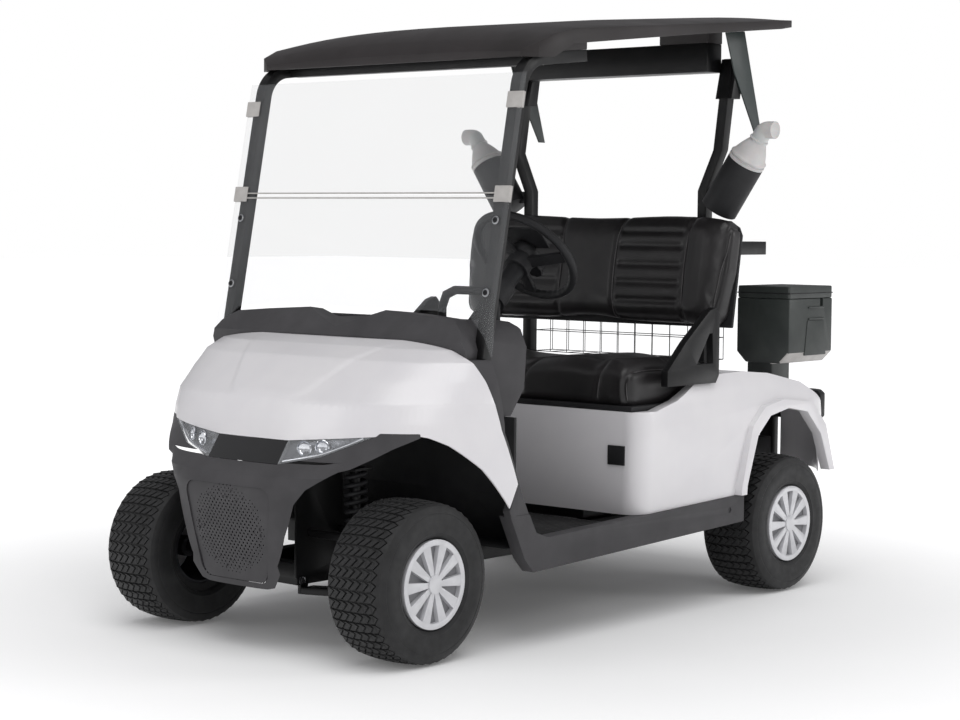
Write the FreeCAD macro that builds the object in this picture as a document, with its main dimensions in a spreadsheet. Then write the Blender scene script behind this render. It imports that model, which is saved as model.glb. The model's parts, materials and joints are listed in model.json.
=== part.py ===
import FreeCAD, Part
import math
import os
import re
import Sketcher
from FreeCAD import Placement, Rotation, Vector

# Two-seat golf cart. X points forward, Y to the driver's side, Z up, millimetres.
# The origin is on the ground, under the middle of the cart's outer box.

doc = FreeCAD.newDocument("golf_cart")
sheet = doc.addObject("Spreadsheet::Sheet", "Sizes")

# Driving dimensions. "ahead" and "behind" are measured from the front axle, heights from the ground.
sizes = {
    # main layout
    "wheelbase": 1669.0,
    "front_track": 902.0, "rear_track": 996.0,
    "tyre_radius": 222.0, "tyre_width": 206.0,
    "seam_gap": 0.8, "seat_gap": 0.3, "turning_gap": 0.3, "cut_overrun": 40.0,
    # wheels
    "rim_radius": 102.7, "rim_wall": 8.0, "rim_width": 168.0, "cover_radius": 121.0,
    "cover_ring": 16.0, "cover_depth": 14.0, "cover_plate": 6.0, "cover_inset": 4.0,
    "hub_radius": 30.0, "cap_radius": 25.0, "cap_rise": 3.0, "spindle_radius": 15.0,
    "spoke_root_width": 15.0, "spoke_tip_width": 31.0,
    # steering knuckles
    "kingpin_offset": 111.0, "kingpin_radius": 17.0,
    "knuckle_width": 52.0, "knuckle_height": 76.0, "steering_arm_length": 84.0,
    "steering_arm_width": 26.0, "steering_arm_thickness": 12.0,
    # front suspension
    "arm_thickness": 20.0, "arm_root_span": 190.0, "arm_tip_width": 32.0, "arm_bar_width": 30.0,
    "arm_height": 168.0, "arm_lug_wall": 12.0, "top_arm_height": 306.0, "top_arm_root_span": 140.0, "top_arm_bar_width": 18.0,
    "top_arm_shoulder_half": 285.0,
    "damper_radius": 15.0, "damper_foot_half": 262.0, "damper_head_half": 252.0,
    "damper_head_height": 505.0,
    "coil_radius": 34.0, "coil_wire_radius": 6.0, "coil_length": 190.0, "coil_perch": 8.0,
    "tower_width": 70.0, "tower_leg_ahead": 112.0, "tower_leg_width": 182.0, "tower_leg_bottom": 204.0,
    "tower_corner": 40.0, "tower_wall": 8.0,
    # frame
    "rail_width": 50.0, "rail_height": 66.0, "rail_bottom": 215.0, "rail_half_spacing": 315.0,
    "front_rail_half_spacing": 112.0, "front_rail_nose_ahead": 108.0, "front_rail_bottom": 184.0,
    "front_rail_height": 60.0,
    "rail_front_behind": 318.0, "kick_start_behind": 1372.0, "kick_end_behind": 1462.0,
    "kick_rise": 112.0, "rail_end_behind": 1989.7, "cross_width": 46.0,
    "pillar_foot_behind": 1499.0, "rear_cross_reach": 383.0,
    # floor
    "floor_thickness": 11.0, "floor_half_width": 545.0, "floor_rear_behind": 864.0,
    "toe_bend_behind": 432.0, "toe_top_behind": 330.0, "toe_top_height": 440.0,
    "floor_front_behind": 306.0,
    "mat_thickness": 5.0, "mat_margin": 22.0,
    # hood and nose, taken from horizontal sections
    "hood_bottom": 380.0, "hood_height": 478.0, "hood_reach": 172.0, "hood_half_width": 588.0,
    "hood_wall": 5.0, "hood_curve_behind": 300.0, "hood_rear_behind": 460.0,
    "lamp_inner_half": 138.0, "lamp_inner_bottom": 526.0, "lamp_inner_top": 589.0,
    "lamp_tip_half": 400.0, "lamp_tip_drop": 9.0, "lamp_depth": 34.0, "nose_gap": 0.8,
    "lamp_outer_drop": 34.0, "hood_lip_ahead": 30.0, "hood_lip_height": 621.0,
    # lower front
    "fascia_bottom": 168.0, "fascia_height": 372.0, "fascia_reach": 256.0,
    "fascia_back_ahead": 76.0, "fascia_wall": 6.0, "fascia_half_width": 385.0,
    "fascia_hem_rise": 24.0, "fascia_hem_half": 160.0, "wing_half": 530.0, "wing_root_height": 430.0,
    "grille_top_half": 172.0, "grille_low_half": 128.0, "grille_bottom": 198.0, "grille_top": 467.0,
    "grille_thickness": 4.0, "grille_corner": 34.0, "grille_recess": 5.0,
    # rockers: flank behind the front wheel and sill under the door opening
    "rocker_half_width": 588.0, "flank_wall": 26.0, "flank_top": 812.0,
    "sill_front_behind": 370.0, "sill_front_bottom": 215.0, "sill_rear_behind": 1414.0,
    "sill_rear_bottom": 254.0, "sill_front_top": 305.0, "sill_rear_top": 339.0,
    "sill_plug_radius": 9.0, "sill_plug_depth": 4.0,
    # dash
    "dash_half_width": 506.0, "dash_front_behind": 157.0, "dash_front_height": 862.0,
    "dash_ridge_behind": 226.0, "dash_top": 936.0, "dash_rear_behind": 432.0,
    "dash_rear_top": 908.0, "dash_bottom": 648.0, "dash_bottom_behind": 360.0,
    "dash_shoulder_height": 838.0, "dash_crown": 8.0,
    "tray_wall": 14.0, "tray_depth": 74.0, "tray_front_behind": 262.0, "tray_rear_behind": 404.0,
    "grab_radius": 13.0, "grab_inner": 196.0, "grab_outer": 400.0, "grab_rise": 98.0,
    "grab_bend": 50.0, "grab_behind": 418.0,
    # rear body, taken from horizontal sections
    "body_front_behind": 865.0, "body_rear_behind": 1990.0, "body_half_width": 589.0,
    "body_wall": 5.0, "body_bottom": 296.0, "body_top": 736.0, "body_front_corner": 66.0,
    "body_rear_corner": 180.0,
    "seat_well_half": 549.0, "seat_well_rear_behind": 1346.0, "seat_rim_height": 628.0,
    "seat_rim_width": 46.0,
    "bag_bay_front_behind": 1640.0, "bag_bay_half": 352.0,
    "flare_proud": 17.0, "flare_width": 30.0,
    "port_width": 62.0, "port_height": 58.0, "port_depth": 5.0, "port_half": 498.0, "port_centre": 498.0,
    # battery block
    "battery_length": 392.0, "battery_width": 640.0, "battery_headroom": 70.7,
    "battery_front_behind": 936.0,
    # seat
    "seat_front_behind": 872.0, "seat_length": 462.0, "seat_half_width": 545.0,
    "seat_thickness": 98.0, "seat_pan_thickness": 16.0, "seat_groove": 12.0,
    "back_bottom": 862.0, "back_height": 362.0, "back_thickness": 68.0, "back_half_width": 548.0,
    "back_front_behind": 1336.0, "back_lean_behind": 58.0, "back_plate_thickness": 12.0,
    "back_post_width": 46.0,
    # hip restraints
    "hip_half": 577.0, "hip_thickness": 24.0, "hip_front_behind": 992.0, "hip_rear_behind": 1262.0,
    "hip_top": 932.0, "hip_bottom": 700.0,
    # front struts and windshield
    "strut_size": 34.0, "strut_half": 511.0, "strut_base_behind": 198.0, "strut_base_height": 650.0,
    "strut_bend_behind": 377.0, "strut_bend_height": 1568.0, "strut_bend_radius": 96.0,
    "strut_rail_end_behind": 660.0,
    "pane_thickness": 5.0, "pane_half_width": 548.0, "pane_flare_half": 560.0, "pane_split_height": 1262.0,
    "pane_top_height": 1602.0, "pane_bottom_height": 820.0, "pane_join_gap": 4.0,
    "clip_width": 56.0, "clip_height": 46.0, "clip_wall": 3.0, "clip_centre_height": 1523.0,
    # roof
    "roof_front_behind": 386.0, "roof_rear_behind": 1768.0, "roof_half_width": 564.0,
    "roof_front_height": 1646.0, "roof_rise": 222.0, "roof_wall": 6.0,
    # rear pillars and beam
    "pillar_size": 34.0, "pillar_low_half": 362.0, "pillar_high_half": 420.0,
    "pillar_kink_low": 1294.0, "pillar_kink_high": 1424.0, "pillar_top": 1716.0,
    "pillar_top_behind": 1556.0, "pillar_bracket_width": 62.0, "pillar_bracket_height": 128.0,
    "beam_front_behind": 1462.0, "beam_depth": 80.0, "beam_bottom": 1672.0, "beam_height": 92.0,
    "rear_pad_inner": 200.0, "rear_pad_outer": 390.0,
    "fin_thickness": 5.0, "fin_tip_height": 1468.0, "fin_top_width": 110.0,
    # sand bottles
    "holder_radius": 60.0, "holder_wall": 4.0, "holder_length": 178.0, "holder_top_half": 532.0,
    "holder_top_height": 1383.0, "holder_behind": 1476.0, "holder_gap": 1.0,
    "holder_bracket_width": 28.0,
    "holder_bracket_height": 40.0,
    "bottle_neck_radius": 27.0, "bottle_lip": 21.0, "bottle_shoulder": 62.0, "bottle_neck": 52.0,
    "scoop_radius": 28.0, "scoop_length": 40.0,
    # bag rack, tray and basket
    "rack_height": 1108.0, "rack_arm_half": 320.0, "rack_arm_width": 32.0, "rack_arm_depth": 44.0,
    "rack_cross_depth": 22.0, "rack_rear_behind": 1790.0, "rack_bar_width": 24.0,
    "rack_loop_radius": 112.0, "rack_loop_half": 165.0,
    "bag_tray_bottom": 404.0, "bag_tray_floor": 10.0, "bag_tray_wall_height": 76.0,
    "bag_tray_rear_behind": 1936.0, "bag_tray_half": 346.0, "bag_tray_wall": 8.0,
    "basket_length": 108.0, "basket_bottom": 742.0,
    "basket_height": 150.0, "basket_half": 362.0, "basket_wall": 6.0,
    # bumper and lamps
    "bumper_depth": 89.0, "bumper_half": 505.0, "bumper_bottom": 530.0, "bumper_height": 100.0, "bumper_corner": 85.0,
    "bumper_edge": 12.0, "bumper_post_depth": 40.0,
    "tail_lamp_radius": 34.0, "tail_lamp_depth": 16.0,
    # cooler
    "cooler_front_behind": 1664.0, "cooler_length": 262.0, "cooler_inner_half": 382.0,
    "cooler_outer_half": 584.0, "cooler_bottom": 738.0, "cooler_height": 250.0,
    "cooler_wall": 18.0, "cooler_lid_height": 40.0, "cooler_chamfer": 34.0, "cooler_edge": 9.0,
    "riser_inset": 34.0, "riser_length": 108.0, "riser_inner_half": 402.0, "riser_width": 96.0,
    # rear axle
    "axle_tube_radius": 36.0, "drum_radius": 84.0, "drum_width": 44.0, "drum_inner_half": 344.0,
    "motor_radius": 88.0, "motor_length": 230.0, "gearbox_radius": 104.0, "gearbox_width": 120.0,
    "leaf_width": 46.0, "leaf_thickness": 14.0, "leaf_half_length": 198.0,
    # steering wheel and column
    "wheel_hub_behind": 703.0, "wheel_hub_half": 270.0, "wheel_hub_height": 1090.0,
    "steering_radius": 162.0, "steering_grip_radius": 13.0, "steering_boss_radius": 40.0,
    "steering_boss_length": 52.0, "steering_spoke_width": 34.0, "steering_spoke_thickness": 12.0,
    "steering_dish": 34.0, "column_radius": 29.0, "column_length": 420.0, "column_collar_radius": 38.0,
    "column_collar_length": 70.0,
    # pedals
    "pedal_width": 74.0, "pedal_height": 92.0, "pedal_thickness": 14.0, "pedal_behind": 452.0,
    "pedal_bottom": 352.0, "brake_half": 300.0, "throttle_half": 176.0, "pedal_arm_width": 16.0,
}
angles = {"steering_tilt": 47.6, "roof_slope": 6.3, "holder_lean": 34.0, "scoop_bend": 58.0}
counts = {"spoke_count": 10, "coil_turns": 6, "coil_runs": 12, "wheel_sides": 48,
          "bottle_sides": 24}

for row, (name, value) in enumerate(list(sizes.items()) + list(angles.items()) + list(counts.items())):
    cell = "A%d" % (row + 1)
    sheet.set(cell, str(value))
    sheet.setAlias(cell, name)
doc.recompute()


class Named:
    """Reads a named size from the sheet."""

    def __getattr__(self, name):
        return float(sheet.get(name))


s = Named()
overall_length = s.fascia_reach + s.body_rear_behind + s.bumper_depth
front_axle = overall_length / 2 - s.fascia_reach
rear_axle = front_axle - s.wheelbase
SIDES = (("left", 1), ("right", -1))


def behind(distance):
    """X of a place that far behind the front axle."""
    return front_axle - distance


def ahead(distance):
    return front_axle + distance


def add_part(label, shape, place=Placement()):
    """One sub-part; place sets a piece modelled about its own centre."""
    piece = doc.addObject("Part::Feature", label)
    piece.Shape = shape
    piece.Placement = place
    piece.Label = label
    return piece


def cells(formula):
    """A formula in size names, with each name pointed at its cell in the sheet."""
    return re.sub("[a-z_]+", lambda name: "Sizes." + name.group(0), formula)


# the front axle's X and the top of the rails, as formulas of the sizes
axle_formula = "(body_rear_behind + bumper_depth - fascia_reach) / 2"
rail_formula = "(rail_bottom + rail_height + seat_gap)"


def bound_box(label, spans, corner):
    """Box whose length, width, height and lowest corner follow the sheet."""
    box = doc.addObject("Part::Box", label)
    box.Label = label
    for side, formula in zip(("Length", "Width", "Height"), spans):
        box.setExpression(side, cells(formula))
    for axis, formula in zip("xyz", corner):
        box.setExpression("Placement.Base." + axis, cells(formula))
    return box


def sketched_rectangle(body, name, length, width, height):
    """Level rectangle from the body's own corner, its sides and height bound to the sheet."""
    sketch = body.newObject("Sketcher::SketchObject", name)
    plane = [item for item in body.Origin.OriginFeatures if item.Role == "XY_Plane"][0]
    sketch.AttachmentSupport = [(plane, "")]
    sketch.MapMode = "FlatFace"
    corners = [Vector(x, y, 0) for x, y in ((0, 0), (1, 0), (1, 1), (0, 1))]
    for start, end in zip(corners, corners[1:] + corners[:1]):
        sketch.addGeometry(Part.LineSegment(start * s.tower_wall, end * s.tower_wall), False)
    for line in range(4):
        sketch.addConstraint(Sketcher.Constraint("Coincident", line, 2, (line + 1) % 4, 1))
        sketch.addConstraint(Sketcher.Constraint("Vertical" if line % 2 else "Horizontal", line))
    for kind, start, end, formula in (("DistanceX", 0, 0, length), ("DistanceY", 1, 1, width)):
        number = sketch.addConstraint(Sketcher.Constraint(kind, start, 1, end, 2, s.tower_wall))
        sketch.renameConstraint(number, kind)
        sketch.setExpression("Constraints." + kind, cells(formula))
    sketch.addConstraint(Sketcher.Constraint("Symmetric", 0, 1, 1, 2, -1, 1))
    sketch.setExpression("AttachmentOffset.Base.z", cells(height))
    return sketch


def open_tray(label, length, width, height, wall, floor, place):
    """Open box as a padded rectangle with a pocket; place is the middle of its underside."""
    body = doc.addObject("PartDesign::Body", label)
    body.Label = label
    pad = body.newObject("PartDesign::Pad", label + "_block")
    pad.Profile = sketched_rectangle(body, label + "_outline", length, width, "seam_gap * 0")
    pad.setExpression("Length", cells(height))
    pocket = body.newObject("PartDesign::Pocket", label + "_inside")
    pocket.Profile = sketched_rectangle(body, label + "_mouth", "(%s) - 2 * %s" % (length, wall),
                                        "(%s) - 2 * %s" % (width, wall), height)
    pocket.setExpression("Length", cells("%s - %s" % (height, floor)))
    body.Tip = pocket
    for axis, formula in zip("xyz", place):
        body.setExpression("Placement.Base." + axis, cells(formula))
    return body


def side_prism(points, low_y, high_y):
    """Solid with a side-view outline, points as (x, z), between two Y planes."""
    wire = Part.makePolygon([Vector(x, low_y, z) for x, z in points + points[:1]])
    return Part.Face(wire).extrude(Vector(0, high_y - low_y, 0))


def front_prism(points, low_x, high_x):
    """Solid with a front-view outline, points as (y, z), between two X planes."""
    wire = Part.makePolygon([Vector(low_x, y, z) for y, z in points + points[:1]])
    return Part.Face(wire).extrude(Vector(high_x - low_x, 0, 0))


def block(low, high):
    """Box between two corners given in any order."""
    corner = Vector(*[min(a, b) for a, b in zip(low, high)])
    span = [abs(a - b) for a, b in zip(low, high)]
    return Part.makeBox(span[0], span[1], span[2], corner)


def mirrored(shape):
    return shape.mirror(Vector(0, 0, 0), Vector(0, 1, 0))


def loft(wires):
    """Solid through closed sections, with its faces outwards."""
    solid = Part.makeLoft(wires, True, True)
    if solid.Volume < 0:
        solid.reverse()
    return solid


def both_sides(shape):
    """A solid and its mirror image, kept as two solids of one piece."""
    return Part.makeCompound([shape, mirrored(shape)])


def round_edges(shape, radius, chosen):
    """Fillet of the edges that the test picks out."""
    edges = [edge for edge in shape.Edges if chosen(edge)]
    return shape.makeFillet(radius, edges) if edges else shape


def along(axis_index):
    """Test for straight edges that run along one axis."""
    def chosen(edge):
        if len(edge.Vertexes) != 2:
            return False
        run = edge.Vertexes[1].Point - edge.Vertexes[0].Point
        across = [abs(run[i]) for i in range(3) if i != axis_index]
        return abs(run[axis_index]) > 10 * max(across)
    return chosen


def bar(start, end, width, height, up=Vector(0, 0, 1)):
    """Straight bar of rectangular section between two points."""
    run = end - start
    direction = Vector(run)
    direction.normalize()
    side = direction.cross(up)
    side.normalize()
    top = side.cross(direction)
    corners = []
    for a, b in ((-1, -1), (1, -1), (1, 1), (-1, 1)):
        corners.append(start + side * (a * width / 2) + top * (b * height / 2))
    return Part.Face(Part.makePolygon(corners + corners[:1])).extrude(run)


def placed(shape, base, rotation):
    """Copy of a shape, turned and moved as a whole."""
    copy = shape.copy()
    copy.Placement = Placement(base, rotation).multiply(copy.Placement)
    return copy


def stepped_turn(points, sides):
    """Solid turned about the Y line in flat steps that touch the true circle, points as (radius, y)."""
    rings = []
    outward = 1 / math.cos(math.pi / sides)
    for step in range(int(sides)):
        angle = 2 * math.pi * (step + 0.5) / sides
        across, up = outward * math.cos(angle), outward * math.sin(angle)
        rings.append([Vector(radius * across, y, radius * up) for radius, y in points])
    faces = []
    for ring, next_ring in zip(rings, rings[1:] + rings[:1]):
        for number in range(len(points)):
            after = (number + 1) % len(points)
            corners = [ring[number], ring[after]]
            corners += [next_ring[place] for place in (after, number) if points[place][0] > 0]
            if len(corners) > 2:
                faces.append(Part.Face(Part.makePolygon(corners + corners[:1])))
    solid = Part.makeSolid(Part.makeShell(faces))
    if solid.Volume < 0:
        solid.reverse()
    return solid


def rod(start, end, radius):
    run = end - start
    return Part.makeCylinder(radius, run.Length, start, run)


# Nose and hood

# height, reach and half width of each horizontal section of the nose, as shares of the hood's own
nose_section_shares = [
    (0.000, 1.00, 0.995), (0.209, 1.12, 1.000), (0.305, 1.12, 0.998), (0.437, 0.87, 0.995),
    (0.555, 0.79, 0.990), (0.663, 0.68, 0.981), (0.785, 0.28, 0.964), (0.889, -0.08, 0.938),
    (0.958, -0.45, 0.876), (1.000, -0.81, 0.782),
]
NOSE_SIDE_POWER = 2.6
NOSE_FRONT_POWER = 2.75
CURVE_STEPS = 4


def bow_section(height, reach_x, half_width, curve_x, rear_x, side_power, front_power):
    """Closed plan outline of a rounded nose at one height."""
    points = []
    for step in range(-CURVE_STEPS, CURVE_STEPS + 1):
        y = half_width * math.sin(step / CURVE_STEPS * math.pi / 2)
        fullness = max(0.0, 1 - abs(y / half_width) ** side_power)
        points.append(Vector(curve_x + (reach_x - curve_x) * fullness ** (1 / front_power), y, height))
    curve = Part.BSplineCurve()
    curve.interpolate(points)
    left, right = Vector(rear_x, half_width, height), Vector(rear_x, -half_width, height)
    edges = [curve.toShape(), Part.makeLine(points[-1], left), Part.makeLine(left, right),
             Part.makeLine(right, points[0])]
    return Part.Wire(edges)


def nose_solid(inset):
    """The whole rounded front of the body, taken in by inset."""
    sections = []
    for height_share, reach_share, width_share in nose_section_shares:
        height = s.hood_bottom + s.hood_height * height_share
        reach_x = ahead(s.hood_reach * reach_share) - inset
        half_width = s.hood_half_width * width_share - inset
        sections.append((height, reach_x, half_width))
    low = sections[0]
    if inset:
        top = sections[-1]
        sections[-1] = (top[0] - inset, top[1], top[2])
        sections[0] = (low[0] - s.cut_overrun, low[1], low[2])
    rear_x = behind(s.hood_rear_behind) - (s.cut_overrun if inset else 0)
    wires = [bow_section(z, x, w, behind(s.hood_curve_behind), rear_x, NOSE_SIDE_POWER, NOSE_FRONT_POWER)
             for z, x, w in sections]
    return loft(wires)


nose_outer = nose_solid(0)
nose_shell = nose_outer.cut(nose_solid(s.hood_wall))

# painted hood's rear edge in the side view, from the dash down to the tip at the wheel arch:
# distance behind the axle and height, as shares of the hood's curve length and height
hood_edge_shares = [(0.520, 1.010), (0.563, 0.910), (0.633, 0.768), (0.743, 0.510), (0.987, 0.186),
                    (0.860, 0.054)]
# wheel arch edge from that tip to the front, as distance behind the axle
arch_edge_shares = [(0.787, 0.105), (0.503, 0.291), (0.333, 0.374), (0.207, 0.435), (0.060, 0.481)]


def hood_points(shares, shift=0.0):
    return [(behind(s.hood_curve_behind * back) - shift, s.hood_bottom + s.hood_height * up)
            for back, up in shares]


over = s.cut_overrun
hood_edge = hood_points(hood_edge_shares)
arch_edge = hood_points(arch_edge_shares)
far_front = ahead(s.fascia_reach + over)
far_rear = behind(s.hood_rear_behind + over)
hood_high = s.hood_bottom + s.hood_height + over
wide = s.hood_half_width + over

hood_side_view = [(far_front, hood_high), (hood_edge[0][0], hood_high)] + hood_edge + arch_edge
hood_side_view += [(ahead(s.hood_lip_ahead), s.hood_lip_height), (ahead(s.hood_lip_ahead), s.hood_bottom),
                   (far_front, s.hood_bottom)]
lamp_tip_height = s.hood_lip_height - s.lamp_tip_drop


def lamp_line(low, gap):
    """Half of the front-view line along the lamp's lower or upper edge, outwards from the centre."""
    inner = s.lamp_inner_bottom if low else s.lamp_inner_top
    drop = s.lamp_outer_drop if low else 0
    middle = (s.lamp_inner_half + s.lamp_tip_half) / 2
    middle_height = (inner + lamp_tip_height - drop) / 2
    return [(0, inner + gap), (s.lamp_inner_half, inner + gap), (middle, middle_height + gap),
            (s.lamp_tip_half, lamp_tip_height + gap)]


def to_the_sides(line, gap):
    """Lamp line of both sides, carried out to the wheel arches at the height of the hood's lip."""
    lip = [(s.lamp_tip_half + s.lamp_tip_drop, s.hood_lip_height + gap), (wide, s.hood_lip_height + gap)]
    return both_ways(line + lip)


def both_ways(line):
    return [(-y, z) for y, z in reversed(line[1:])] + line


below_hood = to_the_sides(lamp_line(False, 0), 0)
below_hood += [(wide, s.hood_bottom - over), (-wide, s.hood_bottom - over)]
lamp_root_x = front_axle
hood_shape = nose_shell.common(side_prism(hood_side_view, -wide, wide))
hood_shape = hood_shape.cut(front_prism(below_hood, lamp_root_x, far_front))
add_part("hood", hood_shape)

# lamps and centre panel fill the slot between hood and lower front, flush with the nose
lamp_band = nose_outer.cut(nose_solid(s.lamp_depth)).common(
    block((behind(0), -wide, s.hood_bottom), (far_front, wide, hood_high)))
lens_line = lamp_line(False, -s.nose_gap)
foot_line = lamp_line(True, s.nose_gap)
lens_outline = [(s.lamp_inner_half + s.nose_gap, foot_line[1][1])] + foot_line[2:3]
lens_outline += [(s.lamp_tip_half - s.nose_gap * 8, lens_line[-1][1] - s.nose_gap), lens_line[2],
                 (s.lamp_inner_half + s.nose_gap, lens_line[1][1])]
lens = lamp_band.common(front_prism(lens_outline, lamp_root_x, far_front))
add_part("headlamps", both_sides(lens))

centre_outline = [(-s.lamp_inner_half, foot_line[0][1]), (s.lamp_inner_half, foot_line[0][1]),
                  (s.lamp_inner_half, lens_line[0][1]), (-s.lamp_inner_half, lens_line[0][1])]
add_part("nose_panel", lamp_band.common(front_prism(centre_outline, lamp_root_x, far_front)))

# Lower front

# height, reach and half width of the level sections, as shares of the lower front's own
fascia_section_shares = [
    (0.000, 0.790, 0.72), (0.169, 0.867, 0.80), (0.476, 0.949, 0.78), (0.704, 1.000, 0.79),
    (0.804, 1.000, 0.85), (0.890, 0.935, 0.915), (0.962, 0.775, 0.975), (1.000, 0.700, 1.000),
]
# side edge towards the wheel, up to the lamp's tip, as distance ahead of the axle and height
fascia_arch_shares = [
    (0.770, -0.10), (0.770, 0.00), (0.840, 0.231), (0.852, 0.452), (0.840, 0.688), (0.800, 0.804),
    (0.684, 0.890), (0.441, 1.005), (0.223, 1.105), (0.000, 1.190),
]
FASCIA_SIDE_POWER = 3.2
FASCIA_FRONT_POWER = 2.0


def fascia_solid(inset):
    back_x = ahead(s.fascia_back_ahead) - (over if inset else 0)
    curve_x = ahead(s.fascia_back_ahead + s.fascia_wall)
    last = len(fascia_section_shares) - 1
    wires = []
    for number, (height_share, reach_share, width_share) in enumerate(fascia_section_shares):
        height = s.fascia_bottom + s.fascia_height * height_share
        if inset and number == 0:
            height -= over
        if inset and number == last:
            height += over
        wires.append(bow_section(height, ahead(s.fascia_reach * reach_share) - inset,
                                 s.fascia_half_width * width_share - inset, curve_x, back_x,
                                 FASCIA_SIDE_POWER, FASCIA_FRONT_POWER))
    return loft(wires)


def grille_outline(gap):
    """Prism through the lower front with the grille's outline, narrower towards the ground."""
    low, high = s.grille_bottom + gap, s.grille_top - gap
    low_half, top_half = s.grille_low_half - gap, s.grille_top_half - gap
    prism = front_prism([(-low_half, low), (low_half, low), (top_half, high), (-top_half, high)],
                        ahead(s.fascia_back_ahead), far_front)
    return round_edges(prism, s.grille_corner, along(0))


fascia_outer = fascia_solid(0)
fascia_shell = fascia_outer.cut(fascia_solid(s.fascia_wall))
wing_view = both_ways([(0, s.wing_root_height), (s.wing_half, s.wing_root_height), (s.wing_half, hood_high)])
wings = nose_outer.cut(nose_solid(s.fascia_wall)).common(front_prism(wing_view, lamp_root_x, far_front))
fascia_shell = fascia_shell.fuse(wings.cut(fascia_outer))
above_fascia = to_the_sides(lamp_line(True, 0), -s.nose_gap) + [(wide, hood_high), (-wide, hood_high)]
fascia_shell = fascia_shell.cut(front_prism(above_fascia, lamp_root_x - over, far_front))
fascia_arch = [(ahead(s.fascia_reach * reach), s.fascia_bottom + s.fascia_height * up)
               for reach, up in fascia_arch_shares]
fascia_arch += [(far_rear, fascia_arch[-1][1]), (far_rear, fascia_arch[0][1])]
fascia_shell = fascia_shell.cut(side_prism(fascia_arch, -wide, wide))
# hem that rises from the middle to both sides
hem = both_ways([(0, s.fascia_bottom), (s.fascia_hem_half / 2, s.fascia_bottom + s.fascia_hem_rise / 4),
                 (s.fascia_hem_half, s.fascia_bottom + s.fascia_hem_rise), (wide, s.fascia_bottom + s.fascia_hem_rise)])
hem += [(wide, s.fascia_bottom - over), (-wide, s.fascia_bottom - over)]
fascia_shell = fascia_shell.cut(front_prism(hem, lamp_root_x - over, far_front))
fascia_shell = fascia_shell.cut(grille_outline(0))
add_part("front_fascia", max(fascia_shell.Solids, key=lambda solid: solid.Volume))
grille_band = fascia_solid(s.grille_recess - s.grille_thickness).cut(fascia_solid(s.grille_recess))
add_part("grille", grille_band.common(grille_outline(s.nose_gap)))

# Rockers

sill_slope = (s.sill_rear_top - s.sill_front_top) / (s.sill_rear_behind - s.sill_front_behind)
flank_front = [(x - s.seam_gap, z) for x, z in hood_edge[1:5]]


def sill_top_at(distance):
    return s.sill_front_top + (distance - s.sill_front_behind) * sill_slope


flank_view = [(hood_edge[1][0] - s.seam_gap, s.flank_top)] + flank_front[1:]
flank_view += [(hood_edge[5][0] - s.seam_gap, hood_edge[5][1] - over / 4),
               (behind(s.hood_curve_behind * 0.98), s.hood_bottom - s.hood_height * 0.11),
               (behind(s.sill_front_behind - over), s.sill_front_bottom + over),
               (behind(s.sill_front_behind), s.sill_front_bottom),
               (behind(s.sill_rear_behind), s.sill_rear_bottom),
               (behind(s.sill_rear_behind), s.sill_rear_top),
               (behind(s.toe_bend_behind), sill_top_at(s.toe_bend_behind)),
               (behind(s.sill_front_behind + over / 4), s.sill_front_top + over / 2),
               (behind(s.hood_curve_behind * 1.076), s.hood_bottom + s.hood_height * 0.100),
               (behind(s.hood_curve_behind * 0.79), s.hood_bottom + s.hood_height * 0.488),
               (behind(s.hood_curve_behind * 0.753), s.flank_top)]
flank_zone = block((far_rear, s.floor_half_width / 2, s.hood_bottom), (far_front, wide, s.flank_top))
flank_skin = nose_outer.cut(nose_solid(s.flank_wall)).common(
    side_prism(flank_view, s.floor_half_width / 2, wide)).common(flank_zone)
sill_bar = side_prism(flank_view, s.floor_half_width + s.seam_gap, s.rocker_half_width)
sill_bar = sill_bar.cut(block((far_rear, 0, s.hood_bottom), (far_front, wide, hood_high)))
rocker = sill_bar.fuse(flank_skin).removeSplitter()
plug = Part.makeCylinder(s.sill_plug_radius, s.sill_plug_depth,
                         Vector(behind(s.sill_rear_behind - over * 2), s.rocker_half_width - s.sill_plug_depth,
                                (s.sill_rear_bottom + s.sill_rear_top) / 2), Vector(0, 1, 0))
rocker = rocker.cut(plug)
rockers = add_part("rockers", both_sides(rocker))

# Dash

dash_view = [(behind(s.dash_front_behind) - s.seam_gap, s.dash_front_height),
             (behind((s.dash_front_behind + s.dash_ridge_behind) / 2), (s.dash_front_height + s.dash_top) / 2 + s.dash_crown),
             (behind(s.dash_ridge_behind), s.dash_top),
             (behind(s.dash_rear_behind - s.tray_wall), s.dash_rear_top),
             (behind(s.dash_rear_behind), s.dash_rear_top - s.tray_wall),
             (behind(s.dash_rear_behind - s.tray_wall), s.dash_bottom + s.tray_depth),
             (behind(s.dash_bottom_behind), s.dash_bottom),
             (behind(s.toe_top_behind), s.dash_bottom), (behind(s.toe_top_behind - over), s.dash_bottom + over),
             (hood_edge[2][0] - over, hood_edge[2][1]),
             (hood_edge[1][0] - s.seam_gap, hood_edge[1][1])]
dash_block = side_prism(dash_view, -s.dash_half_width, s.dash_half_width)
dash_front_shares = [(0.0, 0.48), (0.14, 0.72), (0.30, 1.0), (0.62, 0.90), (0.86, 0.80), (0.95, 0.50),
                     (1.0, 0.0)]
rise = s.dash_top - s.dash_shoulder_height
dash_half = [(s.dash_half_width * y, s.dash_shoulder_height + rise * z) for y, z in dash_front_shares]
dash_front_view = both_ways(dash_half)
dash_front_view += [(s.dash_half_width, s.dash_bottom - over), (-s.dash_half_width, s.dash_bottom - over)]
dash_block = dash_block.common(front_prism(dash_front_view, far_rear, far_front))
tray_half = s.dash_half_width * 0.86
tray_middle = s.dash_half_width * 0.14
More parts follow.
